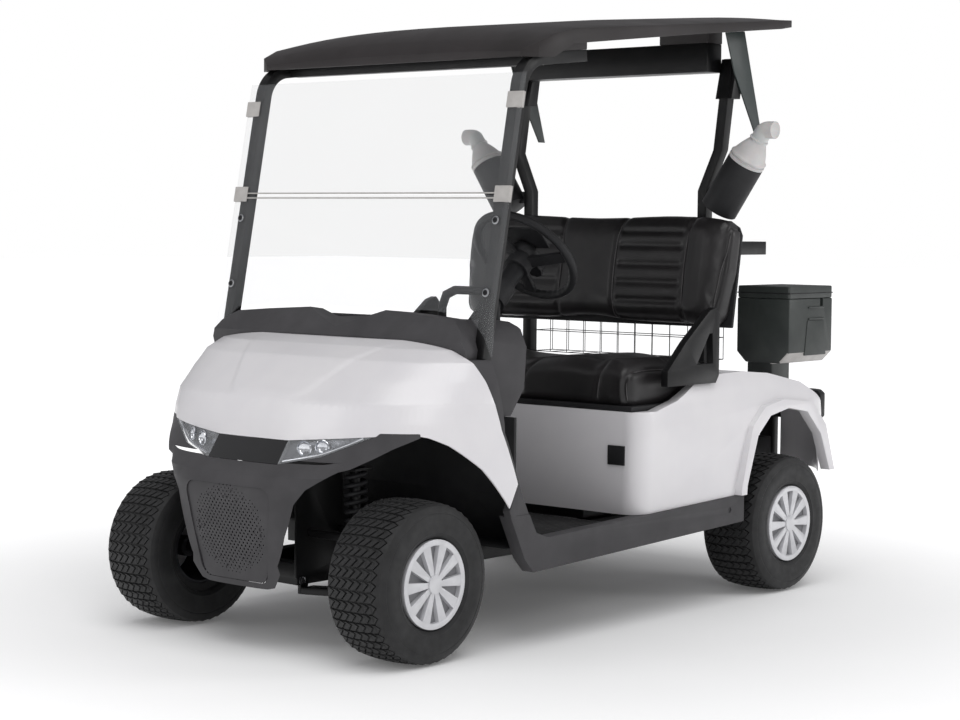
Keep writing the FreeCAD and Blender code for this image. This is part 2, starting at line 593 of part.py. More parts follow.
for side in (1, -1):
    tray = block((behind(s.tray_front_behind), side * tray_middle, s.dash_rear_top - s.tray_depth),
                 (behind(s.tray_rear_behind), side * tray_half, s.dash_top + over))
    dash_block = dash_block.cut(round_edges(tray, s.tray_wall, along(2)))
column_top = Vector(behind(s.wheel_hub_behind), s.wheel_hub_half, s.wheel_hub_height)
tilt = math.radians(s.steering_tilt)
wheel_normal = Vector(-math.sin(tilt), 0, math.cos(tilt))

# Front struts: a bent rectangular tube on each side

strut_base = Vector(behind(s.strut_base_behind), s.strut_half, s.strut_base_height)
strut_bend = Vector(behind(s.strut_bend_behind), s.strut_half, s.strut_bend_height)
lean = strut_bend - strut_base
lean.normalize()
slope = math.radians(s.roof_slope)
rail_dir = Vector(-math.cos(slope), 0, math.sin(slope))
turn = math.acos(max(-1.0, min(1.0, lean.dot(rail_dir))))
bend_run = s.strut_bend_radius * math.tan(turn / 2)
corner = strut_bend + lean * bend_run
rail_start = corner + rail_dir * bend_run
rail_end = rail_start + rail_dir * ((rail_start.x - behind(s.strut_rail_end_behind)) / math.cos(slope))
middle_point = (strut_bend + rail_start) / 2
to_corner = corner - middle_point
to_corner.normalize()
centre_distance = math.hypot(s.strut_bend_radius, bend_run)
arc_middle = corner - to_corner * (centre_distance - s.strut_bend_radius)
path = Part.Wire([Part.makeLine(strut_base, strut_bend),
                  Part.Arc(strut_bend, arc_middle, rail_start).toShape(),
                  Part.makeLine(rail_start, rail_end)])


def square_section(centre, direction, width):
    """Square outline of a tube across a path that lies in the XZ plane."""
    across = direction.cross(Vector(0, 1, 0))
    across.normalize()
    corners = [centre + Vector(0, a * width / 2, 0) + across * (b * width / 2)
               for a, b in ((-1, -1), (1, -1), (1, 1), (-1, 1))]
    return Part.makePolygon(corners + corners[:1])


strut = path.makePipeShell([square_section(strut_base, lean, s.strut_size)], True, True)
strut_cross_at = rail_start + rail_dir * s.strut_size
cross_bar = block((strut_cross_at.x - s.strut_size / 2, -s.strut_half + s.strut_size / 2, strut_cross_at.z - s.strut_size / 2),
                  (strut_cross_at.x + s.strut_size / 2, s.strut_half - s.strut_size / 2, strut_cross_at.z + s.strut_size / 2))
struts = strut.fuse([mirrored(strut), cross_bar]).removeSplitter()
add_part("front_struts", struts)
strut_pocket = bar(strut_base - lean * over, strut_bend, s.strut_size + 2 * s.seat_gap,
                   s.strut_size + 2 * s.seat_gap, Vector(0, 1, 0))
dash_block = dash_block.cut([strut_pocket, mirrored(strut_pocket)])
dash_block = dash_block.cut(both_sides(flank_skin))
rockers.Shape = both_sides(rocker.cut(strut_pocket))
add_part("dash", dash_block)

# grab handle on the dash, behind the tray
grab_foot = s.dash_rear_top - s.tray_wall
grab_top = grab_foot + s.grab_rise
bend_share = 1 - math.sqrt(0.5)
bend_cut = s.grab_bend * bend_share
grab_x = behind(s.grab_behind)
grab_half = [(s.grab_inner, grab_foot), (s.grab_inner, grab_top - s.grab_bend),
             (s.grab_inner + bend_cut, grab_top - bend_cut), (s.grab_inner + s.grab_bend, grab_top)]
grab_line = [Vector(grab_x, y, z) for y, z in grab_half]
grab_line += [Vector(grab_x, s.grab_inner + s.grab_outer - y, z) for y, z in reversed(grab_half)]


def facet_ring(centre, radius, first, second):
    """Eight-sided outline about a centre, in the plane of two directions."""
    corners = []
    for step in range(8):
        angle = math.pi / 4 * (step + 0.5)
        corners.append(centre + first * (radius * math.cos(angle)) + second * (radius * math.sin(angle)))
    return Part.makePolygon(corners + corners[:1])


grab_ring = facet_ring(grab_line[0], s.grab_radius, Vector(1, 0, 0), Vector(0, 1, 0))
grab = Part.makePolygon(grab_line).makePipeShell([grab_ring], True, False, 1)
add_part("grab_handle", grab.cut(side_prism(dash_view, -s.dash_half_width, s.dash_half_width)))

# Windshield: two panes in the plane of the struts' front faces

face_normal = Vector(lean.z, 0, -lean.x)
pane_origin = strut_base + face_normal * (s.strut_size / 2 + s.seat_gap)


def pane(points, gap=0.0):
    """Sheet in the windshield plane, outline as (y, height)."""
    corners = []
    for y, z in points:
        reach = (z - pane_origin.z) / lean.z
        corners.append(Vector(pane_origin.x + lean.x * reach, y, z) + face_normal * gap)
    return Part.Face(Part.makePolygon(corners + corners[:1])).extrude(face_normal * s.pane_thickness)


low_half = [(0.0, s.dash_top + s.seam_gap * 4), (s.dash_half_width * 0.66, s.dash_top + s.seam_gap * 4),
            (s.dash_half_width * 0.92, s.dash_top - rise * 0.1), (s.dash_half_width * 1.04, s.dash_shoulder_height + rise * 0.35),
            (s.pane_flare_half, s.pane_bottom_height), (s.pane_flare_half, s.pane_bottom_height + over),
            (s.pane_half_width, s.pane_bottom_height + 3 * over), (s.pane_half_width, s.pane_split_height)]
lower_pane = pane([(-y, z) for y, z in reversed(low_half[1:])] + low_half)
upper_pane = pane([(-s.pane_half_width, s.pane_split_height + s.pane_join_gap),
                   (s.pane_half_width, s.pane_split_height + s.pane_join_gap),
                   (s.pane_half_width, s.pane_top_height), (-s.pane_half_width, s.pane_top_height)])
add_part("windshield", Part.makeCompound([lower_pane, upper_pane]))


def clip_at(height, tall):
    """Clip round the pane's edge, its back leg against the strut."""
    reach = (height - strut_base.z) / lean.z
    centre = strut_base + lean * reach
    back = s.strut_size / 2
    front = back + s.seat_gap + s.pane_thickness + s.seat_gap
    edge = s.pane_half_width - s.strut_half + s.seat_gap
    strut_side = s.strut_size / 2 + s.seat_gap
    clip = block((front, edge + s.clip_wall - s.clip_width, -tall / 2), (front + s.clip_wall, edge, tall / 2))
    clip = clip.fuse([block((back - s.clip_wall, edge, -tall / 2), (front + s.clip_wall, edge + s.clip_wall, tall / 2)),
                      block((back - s.clip_wall, strut_side, -tall / 2), (back, edge, tall / 2))])
    return placed(clip, centre, Rotation(Vector(0, 0, 1), lean))


add_part("windshield_clips", Part.makeCompound([
    clip_at(height, s.clip_height) for height in (s.clip_centre_height, s.pane_split_height)]
    + [mirrored(clip_at(height, s.clip_height)) for height in (s.clip_centre_height, s.pane_split_height)]))

# Roof

roof_section_shares = [  # back along the roof, half width, lower edge, upper edge, crown
    (0.000, 0.900, 0.010, 0.075, 0.120), (0.020, 0.975, 0.000, 0.190, 0.290),
    (0.065, 0.992, 0.020, 0.310, 0.430), (0.125, 0.996, 0.210, 0.400, 0.530),
    (0.550, 1.000, 0.514, 0.650, 0.810), (0.900, 0.992, 0.743, 0.865, 1.000),
    (0.980, 0.930, 0.811, 0.910, 0.990), (1.000, 0.860, 0.850, 0.895, 0.940),
]


def roof_section(x, half_width, low, edge, crown):
    points = [Vector(x, half_width * share, crown - (crown - edge) * share ** 2 * abs(share) ** 0.5 if share >= 0
                     else crown - (crown - edge) * abs(share) ** 2.5) for share in (-1, -0.6, 0, 0.6, 1)]
    curve = Part.BSplineCurve()
    curve.interpolate(points)
    low_left, low_right = Vector(x, half_width, low), Vector(x, -half_width, low)
    return Part.Wire([curve.toShape(), Part.makeLine(points[-1], low_left), Part.makeLine(low_left, low_right),
                      Part.makeLine(low_right, points[0])])


def roof_solid(inset, drop=0.0):
    wires = []
    length = s.roof_rear_behind - s.roof_front_behind
    last = len(roof_section_shares) - 1
    for number, (back, width, low, edge, crown) in enumerate(roof_section_shares):
        x = behind(s.roof_front_behind + length * back)
        if number == 0:
            x -= inset
        if number == last:
            x += inset
        base = s.roof_front_height
        wires.append(roof_section(x, s.roof_half_width * width - inset, base + s.roof_rise * low - drop,
                                  base + s.roof_rise * edge - inset, base + s.roof_rise * crown - inset))
    return loft(wires)


roof_outer = roof_solid(0)
roof_shell = roof_outer.cut(roof_solid(s.roof_wall, over))
roof_down = roof_solid(0, s.beam_height)
# pads inside the roof rest on the strut rails and on the rear beam
rail_half = s.strut_size / 2
rail_from, rail_to = rail_start + rail_dir * s.strut_size * 2, rail_end
rail_lift = rail_half / math.cos(slope) + s.seat_gap
pad_high = s.roof_front_height + s.roof_rise + over
front_pad = side_prism([(rail_from.x, rail_from.z + rail_lift), (rail_to.x, rail_to.z + rail_lift),
                        (rail_to.x, pad_high), (rail_from.x, pad_high)],
                       s.strut_half - rail_half, s.strut_half + rail_half)
beam_x = behind(s.beam_front_behind)
rear_pad = block((beam_x, s.rear_pad_inner, s.beam_bottom + s.beam_height + s.seat_gap),
                 (beam_x - s.beam_depth, s.rear_pad_outer, pad_high))
pads = [front_pad, mirrored(front_pad), rear_pad, mirrored(rear_pad)]
add_part("roof", roof_shell.fuse([pad.common(roof_down) for pad in pads]).removeSplitter())

# Rear body

body_section_shares = [(0.00, 0.980), (0.60, 1.000), (0.86, 0.985), (1.00, 0.950)]


def body_section(height, half_width, inset):
    """Plan outline of the rear body with rounded corners."""
    front_x, rear_x = behind(s.body_front_behind) - inset, behind(s.body_rear_behind) + inset
    fr, rr = s.body_front_corner - inset, s.body_rear_corner - inset
    w = half_width - inset
    edges = []
    corner_at = math.sqrt(0.5)
    edges.append(Part.makeLine(Vector(front_x, -w + fr, height), Vector(front_x, w - fr, height)))
    edges.append(Part.Arc(Vector(front_x, w - fr, height),
                          Vector(front_x - fr + fr * corner_at, w - fr + fr * corner_at, height),
                          Vector(front_x - fr, w, height)).toShape())
    edges.append(Part.makeLine(Vector(front_x - fr, w, height), Vector(rear_x + rr, w, height)))
    edges.append(Part.Arc(Vector(rear_x + rr, w, height),
                          Vector(rear_x + rr - rr * corner_at, w - rr + rr * corner_at, height),
                          Vector(rear_x, w - rr, height)).toShape())
    edges.append(Part.makeLine(Vector(rear_x, w - rr, height), Vector(rear_x, -w + rr, height)))
    edges.append(Part.Arc(Vector(rear_x, -w + rr, height),
                          Vector(rear_x + rr - rr * corner_at, -w + rr - rr * corner_at, height),
                          Vector(rear_x + rr, -w, height)).toShape())
    edges.append(Part.makeLine(Vector(rear_x + rr, -w, height), Vector(front_x - fr, -w, height)))
    edges.append(Part.Arc(Vector(front_x - fr, -w, height),
                          Vector(front_x - fr + fr * corner_at, -w + fr - fr * corner_at, height),
                          Vector(front_x, -w + fr, height)).toShape())
    return Part.Wire(edges)


def body_solid(inset):
    wires = []
    tall = s.body_top - s.body_bottom
    for number, (up, width) in enumerate(body_section_shares):
        height = s.body_bottom + tall * up
        if inset and number == 0:
            height -= over
        wires.append(body_section(height, s.body_half_width * width, inset))
    return loft(wires)


def body_place(back_share, up_share):
    """Point of the side view from shares of the rear body's length and height."""
    length = s.body_rear_behind - s.body_front_behind
    return (behind(s.body_front_behind + length * back_share),
            s.body_bottom + (s.body_top - s.body_bottom) * up_share)


# top line of the side view, front to rear
body_top_shares = [(0.168, 0.815), (0.261, 0.920), (0.350, 0.968),
                   (0.492, 0.977), (0.625, 0.950), (0.777, 0.870), (0.867, 0.768), (0.930, 0.690),
                   (1.050, 0.600)]


def under_top_line(inset):
    rim_high = s.seat_rim_height + s.seam_gap
    points = [(behind(s.body_front_behind - over), rim_high), (behind(s.body_front_behind + 2 * over), rim_high)]
    points += [body_place(back, up) for back, up in body_top_shares]
    points = [(x, z - inset) for x, z in points]
    low = s.body_bottom - 2 * over
    return side_prism([(points[0][0], low)] + points + [(points[-1][0], low)], -wide, wide)


body_outer = body_solid(0).common(under_top_line(0))
body_inner = body_solid(s.body_wall).common(under_top_line(s.body_wall))
body_shell = body_outer.cut(body_inner)
body_floor_line = [(behind(s.body_front_behind - over), s.sill_front_bottom - over),
                   (behind(s.body_front_behind - over), sill_top_at(s.body_front_behind - over) + s.seam_gap),
                   (behind(s.sill_rear_behind), s.sill_rear_top + s.seam_gap),
                   (behind(s.body_rear_behind + over), s.sill_rear_top + s.seam_gap + over),
                   (behind(s.body_rear_behind + over), s.sill_front_bottom - over)]
body_shell = body_shell.cut(side_prism(body_floor_line, -wide, wide))

arch_shares = [(-0.268, 0.00), (-0.262, 0.27), (-0.205, 0.86), (-0.135, 1.08), (-0.030, 1.15), (0.080, 1.08),
               (0.165, 0.78), (0.228, 0.25), (0.250, 0.00)]
arch_base = s.sill_rear_top - over


def arch_outline(grow):
    """Rear wheel arch in the side view; shares of the wheelbase back from the axle, and of the wheel's height."""
    points = []
    for back, up in arch_shares:
        x = rear_axle - s.wheelbase * back * 0.60 - math.copysign(grow, back)
        z = arch_base + (s.tyre_radius * 1.28) * up * 0.92 + (grow if up > 0.5 else 0)
        points.append((x, z))
    low = arch_base - 3 * over
    return [(points[0][0], low)] + points + [(points[-1][0], low)]


well_inner = s.rear_track / 2 - s.tyre_width / 2 - over / 4
arch_cut = side_prism(arch_outline(0), well_inner, wide)
body_shell = body_shell.cut([arch_cut, mirrored(arch_cut)])
seat_well = block((behind(s.body_front_behind - over), -s.seat_well_half, s.seat_rim_height),
                  (behind(s.seat_well_rear_behind), s.seat_well_half, s.body_top + over))
battery_hatch = block((behind(s.body_front_behind + s.seat_rim_width), -s.seat_well_half + s.seat_rim_width, s.body_bottom),
                      (behind(s.seat_well_rear_behind - s.seat_rim_width), s.seat_well_half - s.seat_rim_width,
                       s.body_top + over))
seat_ledge = block((behind(s.body_front_behind + s.body_wall), -s.seat_well_half - s.body_wall, s.seat_rim_height - s.body_wall),
                   (behind(s.seat_well_rear_behind + s.body_wall), s.seat_well_half + s.body_wall, s.seat_rim_height))
ledge_wall = block((behind(s.seat_well_rear_behind), -s.seat_well_half - s.body_wall, s.seat_rim_height - s.body_wall),
                   (behind(s.seat_well_rear_behind + s.body_wall), s.seat_well_half + s.body_wall, s.body_top))
ledge_wall = ledge_wall.common(body_outer)
side_wall = block((behind(s.body_front_behind + s.body_wall), s.seat_well_half, s.seat_rim_height - s.body_wall),
                  (behind(s.seat_well_rear_behind + s.body_wall), s.seat_well_half + s.body_wall, s.body_top))
side_wall = side_wall.common(body_outer)
bag_bay = block((behind(s.bag_bay_front_behind), -s.bag_bay_half, s.bag_tray_bottom - over),
                (behind(s.body_rear_behind + over), s.bag_bay_half, s.body_top + over))
body_shell = body_shell.cut([seat_well, bag_bay])
body_shell = body_shell.fuse([seat_ledge.common(body_outer), ledge_wall, side_wall, mirrored(side_wall)])
body_shell = body_shell.cut(battery_hatch)
flare_band = side_prism(arch_outline(s.flare_width), s.body_half_width - s.flare_proud,
                        s.body_half_width + s.flare_proud)
flare_band = flare_band.cut(side_prism(arch_outline(0), well_inner, wide))
flare_band = flare_band.cut(block((behind(s.sill_rear_behind + over), 0, 0),
                                  (behind(s.body_rear_behind + over), wide, s.sill_rear_top + over)))
flare_band = flare_band.cut(side_prism(body_floor_line, -wide, wide))
flare_band = flare_band.cut(block((behind(s.body_front_behind), 0, 0),
                                  (behind(s.sill_rear_behind), wide, s.sill_rear_top + s.seam_gap)))
body_shell = body_shell.fuse([flare_band, mirrored(flare_band)])
pillar_x = behind(s.pillar_foot_behind)
pillar_hole = block((pillar_x - s.pillar_size / 2 - s.seam_gap, s.pillar_low_half - s.pillar_size / 2 - s.seam_gap, s.body_bottom),
                    (pillar_x + s.pillar_size / 2 + s.seam_gap, s.pillar_low_half + s.pillar_size / 2 + s.seam_gap, s.body_top + over))
body_shell = body_shell.cut([pillar_hole, mirrored(pillar_hole)])
add_part("rear_body", max(body_shell.Solids, key=lambda solid: solid.Volume))

# charge port on the kick panel
bound_box("charge_port", ("port_depth", "port_width", "port_height"),
          (axle_formula + " - body_front_behind + seat_gap", "port_half - port_width / 2", "port_centre - port_height / 2"))

# Frame


def rail_points(bottom, height):
    raised = s.kick_rise
    line = [(behind(s.rail_front_behind), bottom), (behind(s.kick_start_behind), bottom),
            (behind(s.kick_end_behind), bottom + raised), (behind(s.rail_end_behind), bottom + raised)]
    return line + [(x, z + height) for x, z in reversed(line)]


rail = side_prism(rail_points(s.rail_bottom, s.rail_height), s.rail_half_spacing - s.rail_width / 2,
                  s.rail_half_spacing + s.rail_width / 2)
front_rail = block((ahead(s.front_rail_nose_ahead), s.front_rail_half_spacing - s.rail_width / 2, s.front_rail_bottom),
                   (behind(s.rail_front_behind + s.cross_width), s.front_rail_half_spacing + s.rail_width / 2,
                    s.front_rail_bottom + s.front_rail_height))
rail_top = s.rail_bottom + s.rail_height
crosses = []
bumper_post = block((behind(s.rail_end_behind - s.bumper_post_depth), s.rail_half_spacing - s.rail_width / 2,
                     s.rail_bottom + s.kick_rise),
                    (behind(s.rail_end_behind), s.rail_half_spacing + s.rail_width / 2,
                     s.bumper_bottom + s.bumper_height - s.bumper_edge))
for distance, low, reach in ((s.rail_front_behind, s.rail_bottom, s.rail_half_spacing),
                             (s.floor_rear_behind, s.rail_bottom, s.rail_half_spacing),
                             (s.kick_start_behind - s.cross_width, s.rail_bottom, s.rail_half_spacing),
                             (s.rail_end_behind - s.cross_width, s.rail_bottom + s.kick_rise, s.rail_half_spacing)):
    crosses.append(block((behind(distance), -reach, low), (behind(distance + s.cross_width), reach, low + s.rail_height)))
front_cross = block((ahead(s.front_rail_nose_ahead), -s.front_rail_half_spacing, s.front_rail_bottom),
                    (ahead(s.front_rail_nose_ahead - s.cross_width), s.front_rail_half_spacing,
                     s.front_rail_bottom + s.front_rail_height))
# lugs under the front rails for the low arms' roots
lugs = []
for low_x in (s.arm_root_span / 2 - s.arm_bar_width, -s.arm_root_span / 2):
    for side in (1, -1):
        lugs.append(block((ahead(low_x), side * (s.front_rail_half_spacing + s.rail_width / 2 - s.arm_lug_wall),
                           s.arm_height - s.arm_thickness / 2),
                          (ahead(low_x + s.arm_bar_width), side * (s.front_rail_half_spacing + s.rail_width / 2),
                           s.front_rail_bottom)))
joiner = block((behind(s.rail_front_behind), -s.front_rail_half_spacing - s.rail_width / 2, s.front_rail_bottom),
               (behind(s.rail_front_behind + s.cross_width), s.front_rail_half_spacing + s.rail_width / 2, s.rail_bottom))
pillar_cross_low = s.rail_bottom + s.kick_rise
pillar_cross = block((pillar_x - s.cross_width / 2, -s.rear_cross_reach, pillar_cross_low + s.rail_height - s.cross_width),
                     (pillar_x + s.cross_width / 2, s.rear_cross_reach, pillar_cross_low + s.rail_height))
leg_outer = s.front_rail_half_spacing + s.rail_width / 2
tower = block((ahead(s.tower_width / 2), leg_outer - s.tower_wall, s.damper_head_height),
              (behind(s.tower_width / 2), s.damper_head_half + s.tower_width / 2, s.damper_head_height + s.tower_wall))
tower_leg_rear = ahead(s.tower_leg_ahead - s.tower_leg_width)
tower_leg = block((ahead(s.tower_leg_ahead), leg_outer - s.tower_wall, s.tower_leg_bottom),
                  (tower_leg_rear, leg_outer, s.damper_head_height))
tower_leg = round_edges(tower_leg, s.tower_corner, lambda edge: along(1)(edge) and
                        edge.CenterOfMass.x > front_axle and edge.CenterOfMass.z > s.damper_head_height - over)
tower_half = tower.fuse(tower_leg)
frame_shape = rail.fuse([mirrored(rail), front_rail, mirrored(front_rail), front_cross, joiner, pillar_cross,
                         tower_half, mirrored(tower_half), bumper_post, mirrored(bumper_post)]
                        + crosses + lugs).removeSplitter()
add_part("chassis_frame", frame_shape)

# Floor with toe board and firewall

floor_low = rail_top + s.seat_gap
floor_high = floor_low + s.floor_thickness
t = s.floor_thickness
floor_view = [(behind(s.floor_front_behind), floor_low), (behind(s.floor_rear_behind), floor_low),
              (behind(s.floor_rear_behind), floor_high), (behind(s.toe_bend_behind), floor_high),
              (behind(s.toe_top_behind + t), s.toe_top_height), (behind(s.toe_top_behind + t), (s.dash_bottom - s.seat_gap)),
              (behind(s.toe_top_behind), (s.dash_bottom - s.seat_gap)), (behind(s.toe_top_behind), s.toe_top_height - t),
              (behind(s.toe_bend_behind - t), floor_low + s.seat_gap + t / 2), (behind(s.floor_front_behind), floor_low + t / 2)]
floor_shape = side_prism(floor_view, -s.floor_half_width, s.floor_half_width)
floor_shape = floor_shape.cut(both_sides(flank_skin))
add_part("floor_pan", floor_shape)
bound_box("floor_mat",
          ("floor_rear_behind - toe_bend_behind - 2 * mat_margin", "2 * (floor_half_width - mat_margin)", "mat_thickness"),
          (axle_formula + " - floor_rear_behind + mat_margin", "mat_margin - floor_half_width",
           rail_formula + " + floor_thickness + seat_gap"))

# Battery block on the rails

bound_box("battery_pack",
          ("battery_length", "battery_width", "seat_rim_height - battery_headroom - " + rail_formula),
          (axle_formula + " - battery_front_behind - battery_length", "battery_width / -2", rail_formula))

# Seat

seat_x = behind(s.seat_front_behind)
pan_top = s.seat_rim_height + s.seat_gap + s.seat_pan_thickness
bound_box("seat_pan", ("seat_length", "2 * seat_half_width", "seat_pan_thickness"),
          (axle_formula + " - seat_front_behind - seat_length", "-1 * seat_half_width", "seat_rim_height + seat_gap"))
seat_view_shares = [(0.0, 0.0), (0.0, 0.42), (0.04, 0.78), (0.14, 0.96), (0.35, 1.0), (0.8, 0.93), (1.0, 0.84),
                    (1.0, 0.0)]
seat_low = pan_top + s.seat_gap
cushion_view = [(seat_x - s.seat_length * x, seat_low + s.seat_thickness * z) for x, z in seat_view_shares]
cushion = side_prism(cushion_view, -s.seat_half_width, s.seat_half_width)
cushion = cushion.cut(side_prism([(seat_x - s.seat_groove, seat_low + s.seat_thickness / 2),
                                  (seat_x - s.seat_length, seat_low + s.seat_thickness / 2),
                                  (seat_x - s.seat_length, seat_low + s.seat_thickness * 2),
                                  (seat_x - s.seat_groove, seat_low + s.seat_thickness * 2)],
                                 -s.seat_groove / 2, s.seat_groove / 2))
add_part("seat_cushion", cushion)

back_low = Vector(behind(s.back_front_behind), 0, s.back_bottom)
back_dir = Vector(-s.back_lean_behind, 0, s.back_height)
back_unit = Vector(back_dir)
back_unit.normalize()
back_normal = Vector(-back_unit.z, 0, back_unit.x)


def back_place(up_share, depth):
    point = back_low + back_dir * up_share + back_normal * depth
    return (point.x, point.z)


back_view_shares = [(0.0, 0.25), (0.06, 0.06), (0.25, 0.0), (0.75, 0.06), (0.94, 0.16), (1.0, 0.45), (1.0, 0.80),
                    (0.95, 1.0), (0.05, 1.0), (0.0, 0.85)]
back_view = [back_place(up, s.back_thickness * deep) for up, deep in back_view_shares]
seat_back = side_prism(back_view, -s.back_half_width, s.back_half_width)
back_front_shares = [(1.0, -0.10), (1.0, 0.80), (0.975, 0.87), (0.90, 0.935), (0.70, 0.985), (0.30, 1.0)]


def back_front_view(inset):
    """Front outline of the seat back, its top corners rounded down."""
    half = [((s.back_half_width - inset) * y, s.back_bottom + s.back_height * z) for y, z in back_front_shares]
    return half + [(-y, z) for y, z in reversed(half)]


seat_back = seat_back.common(front_prism(back_front_view(0), far_rear - overall_length, far_front))
add_part("seat_back", seat_back)
shell_view = [back_place(0.03, s.back_thickness + s.seat_gap), back_place(0.96, s.back_thickness + s.seat_gap),
              back_place(0.96, s.back_thickness + s.back_plate_thickness),
              back_place(0.03, s.back_thickness + s.back_plate_thickness)]
back_shell = side_prism(shell_view, -s.back_half_width + s.back_plate_thickness, s.back_half_width - s.back_plate_thickness)
post_view = [back_place(0.35, s.back_thickness + s.back_plate_thickness),
             back_place(0.10, s.back_thickness + s.back_plate_thickness),
             (behind(s.pillar_foot_behind - s.pillar_size / 2) + s.seat_gap, s.back_bottom + s.back_post_width),
             (behind(s.pillar_foot_behind - s.pillar_size / 2) + s.seat_gap, s.back_bottom + s.back_height * 0.4)]
post = side_prism(post_view, s.pillar_low_half - s.pillar_size / 2, s.pillar_low_half + s.pillar_size / 2)
back_shell = back_shell.common(
    front_prism(back_front_view(s.back_plate_thickness), far_rear - overall_length, far_front))
add_part("seat_back_shell", back_shell.fuse([post, mirrored(post)]))

# Hip restraints: triangular loops beside the seat

hip_shares = [(0.0, 0.0), (0.0, 0.20), (0.34, 0.56), (0.80, 0.96), (0.92, 1.0), (1.0, 0.90), (1.0, 0.10), (0.94, 0.0)]
hip_hole_shares = [(0.56, 0.26), (0.80, 0.66), (0.86, 0.66), (0.88, 0.26)]


def hip_place(back, up):
    return (behind(s.hip_front_behind + (s.hip_rear_behind - s.hip_front_behind) * back),
            s.hip_bottom + (s.hip_top - s.hip_bottom) * up)


hip = side_prism([hip_place(a, b) for a, b in hip_shares], s.hip_half - s.hip_thickness / 2, s.hip_half + s.hip_thickness / 2)
hip = hip.cut(side_prism([hip_place(a, b) for a, b in hip_hole_shares], 0, wide))
hip = hip.cut(body_outer)
add_part("hip_restraints", both_sides(hip))

# Rear pillars, beam and fins

half_pillar = s.pillar_size / 2
pillar_low_z = pillar_cross_low + s.rail_height + s.seat_gap
pillar_line = [(s.pillar_low_half, pillar_low_z), (s.pillar_low_half, s.pillar_kink_low),
               (s.pillar_high_half, s.pillar_kink_high), (s.pillar_high_half, s.pillar_top)]
pillar_outline = [(y - half_pillar, z) for y, z in pillar_line] + [(y + half_pillar, z) for y, z in reversed(pillar_line)]
pillar_back = s.pillar_top_behind - s.pillar_foot_behind
pillar_side = [(pillar_x + half_pillar, pillar_low_z - over), (pillar_x + half_pillar, s.pillar_kink_high),
               (pillar_x + half_pillar - pillar_back, s.pillar_top + over),
               (pillar_x - half_pillar - pillar_back, s.pillar_top + over), (pillar_x - half_pillar, s.pillar_kink_high),
               (pillar_x - half_pillar, pillar_low_z - over)]
pillar = front_prism(pillar_outline, behind(s.body_rear_behind), far_front).common(side_prism(pillar_side, 0, wide))
half_bracket = s.pillar_bracket_width / 2
pillar_bracket = front_prism([(s.pillar_high_half - half_bracket, s.pillar_top - s.pillar_bracket_height),
                              (s.pillar_high_half + half_bracket, s.pillar_top - s.pillar_bracket_height),
                              (s.pillar_high_half + half_bracket, s.pillar_top),
                              (s.pillar_high_half - half_bracket, s.pillar_top)],
                             behind(s.pillar_top_behind + half_bracket), behind(s.pillar_foot_behind - half_pillar))
pillar_bracket = pillar_bracket.common(side_prism(
    [(x + math.copysign(half_bracket - half_pillar, x - pillar_x + half_pillar / 2), z) for x, z in pillar_side], 0, wide))
add_part("rear_pillars", both_sides(pillar.fuse(pillar_bracket).removeSplitter()))

beam_half = "(pillar_high_half - pillar_bracket_width / 2 - seat_gap)"
bound_box("rear_beam", ("beam_depth", "2 * " + beam_half, "beam_height"),
          (axle_formula + " - beam_front_behind - beam_depth", "-1 * " + beam_half, "beam_bottom"))

fin_line = [(beam_x, s.beam_bottom + s.beam_height + over), (beam_x - s.fin_top_width, s.beam_bottom + s.beam_height + over),
            (beam_x - s.fin_top_width * 2, s.fin_tip_height), (beam_x - s.fin_top_width * 1.7, s.fin_tip_height),
            (beam_x - s.fin_top_width * 0.5, s.beam_bottom)]
fin_inner = s.pillar_high_half + half_bracket + s.seat_gap
fin = side_prism(fin_line, fin_inner, fin_inner + s.fin_thickness)
add_part("roof_fins", both_sides(fin.cut(roof_solid(0))))

# Sand bottles in their holders

holder_top = Vector(behind(s.holder_behind), s.holder_top_half, s.holder_top_height)
holder_lean = math.radians(s.holder_lean)
holder_axis = Vector(0, math.sin(holder_lean), math.cos(holder_lean))
holder_low = holder_top - holder_axis * s.holder_length
holder = Part.makeCylinder(s.holder_radius, s.holder_length, holder_low, holder_axis)
holder_bore = Part.makeCylinder(s.holder_radius - s.holder_wall, s.holder_length, holder_low + holder_axis * s.holder_wall, holder_axis)
bracket_top = s.pillar_kink_low - s.seam_gap
holder_bracket = block((pillar_x - s.holder_bracket_width / 2, s.pillar_low_half + half_pillar + s.seat_gap,
                        bracket_top - s.holder_bracket_height),
                       (pillar_x + s.holder_bracket_width / 2, s.pillar_low_half + half_pillar + s.holder_radius / 2,
                        bracket_top))
add_part("bottle_holders", both_sides(holder.fuse(holder_bracket).cut(holder_bore)))
bottle_r = s.holder_radius - s.holder_wall - s.holder_gap
shoulder_z = s.holder_length + s.bottle_lip
neck_z = shoulder_z + s.bottle_shoulder
bottle_profile = [(0, s.holder_wall + s.holder_gap), (bottle_r, s.holder_wall + s.holder_gap),
                  (bottle_r, s.holder_length + s.holder_gap), (s.holder_radius, s.holder_length + s.holder_gap),
                  (s.holder_radius, shoulder_z), (s.bottle_neck_radius, neck_z),
                  (s.bottle_neck_radius, neck_z + s.bottle_neck), (0, neck_z + s.bottle_neck)]
bottle = placed(stepped_turn(bottle_profile, s.bottle_sides), holder_low, Rotation(Vector(0, 1, 0), holder_axis))
# scoop that bends outwards at the end of the neck
scoop_lean = math.radians(s.holder_lean + s.scoop_bend)
scoop_root = holder_low + holder_axis * (neck_z + s.bottle_neck - s.bottle_neck_radius / 2)
scoop = Part.makeCylinder(s.scoop_radius, s.scoop_length, scoop_root,
                          Vector(0, math.sin(scoop_lean), math.cos(scoop_lean)))
add_part("sand_bottles", both_sides(bottle.fuse(scoop)))

# Bag rack

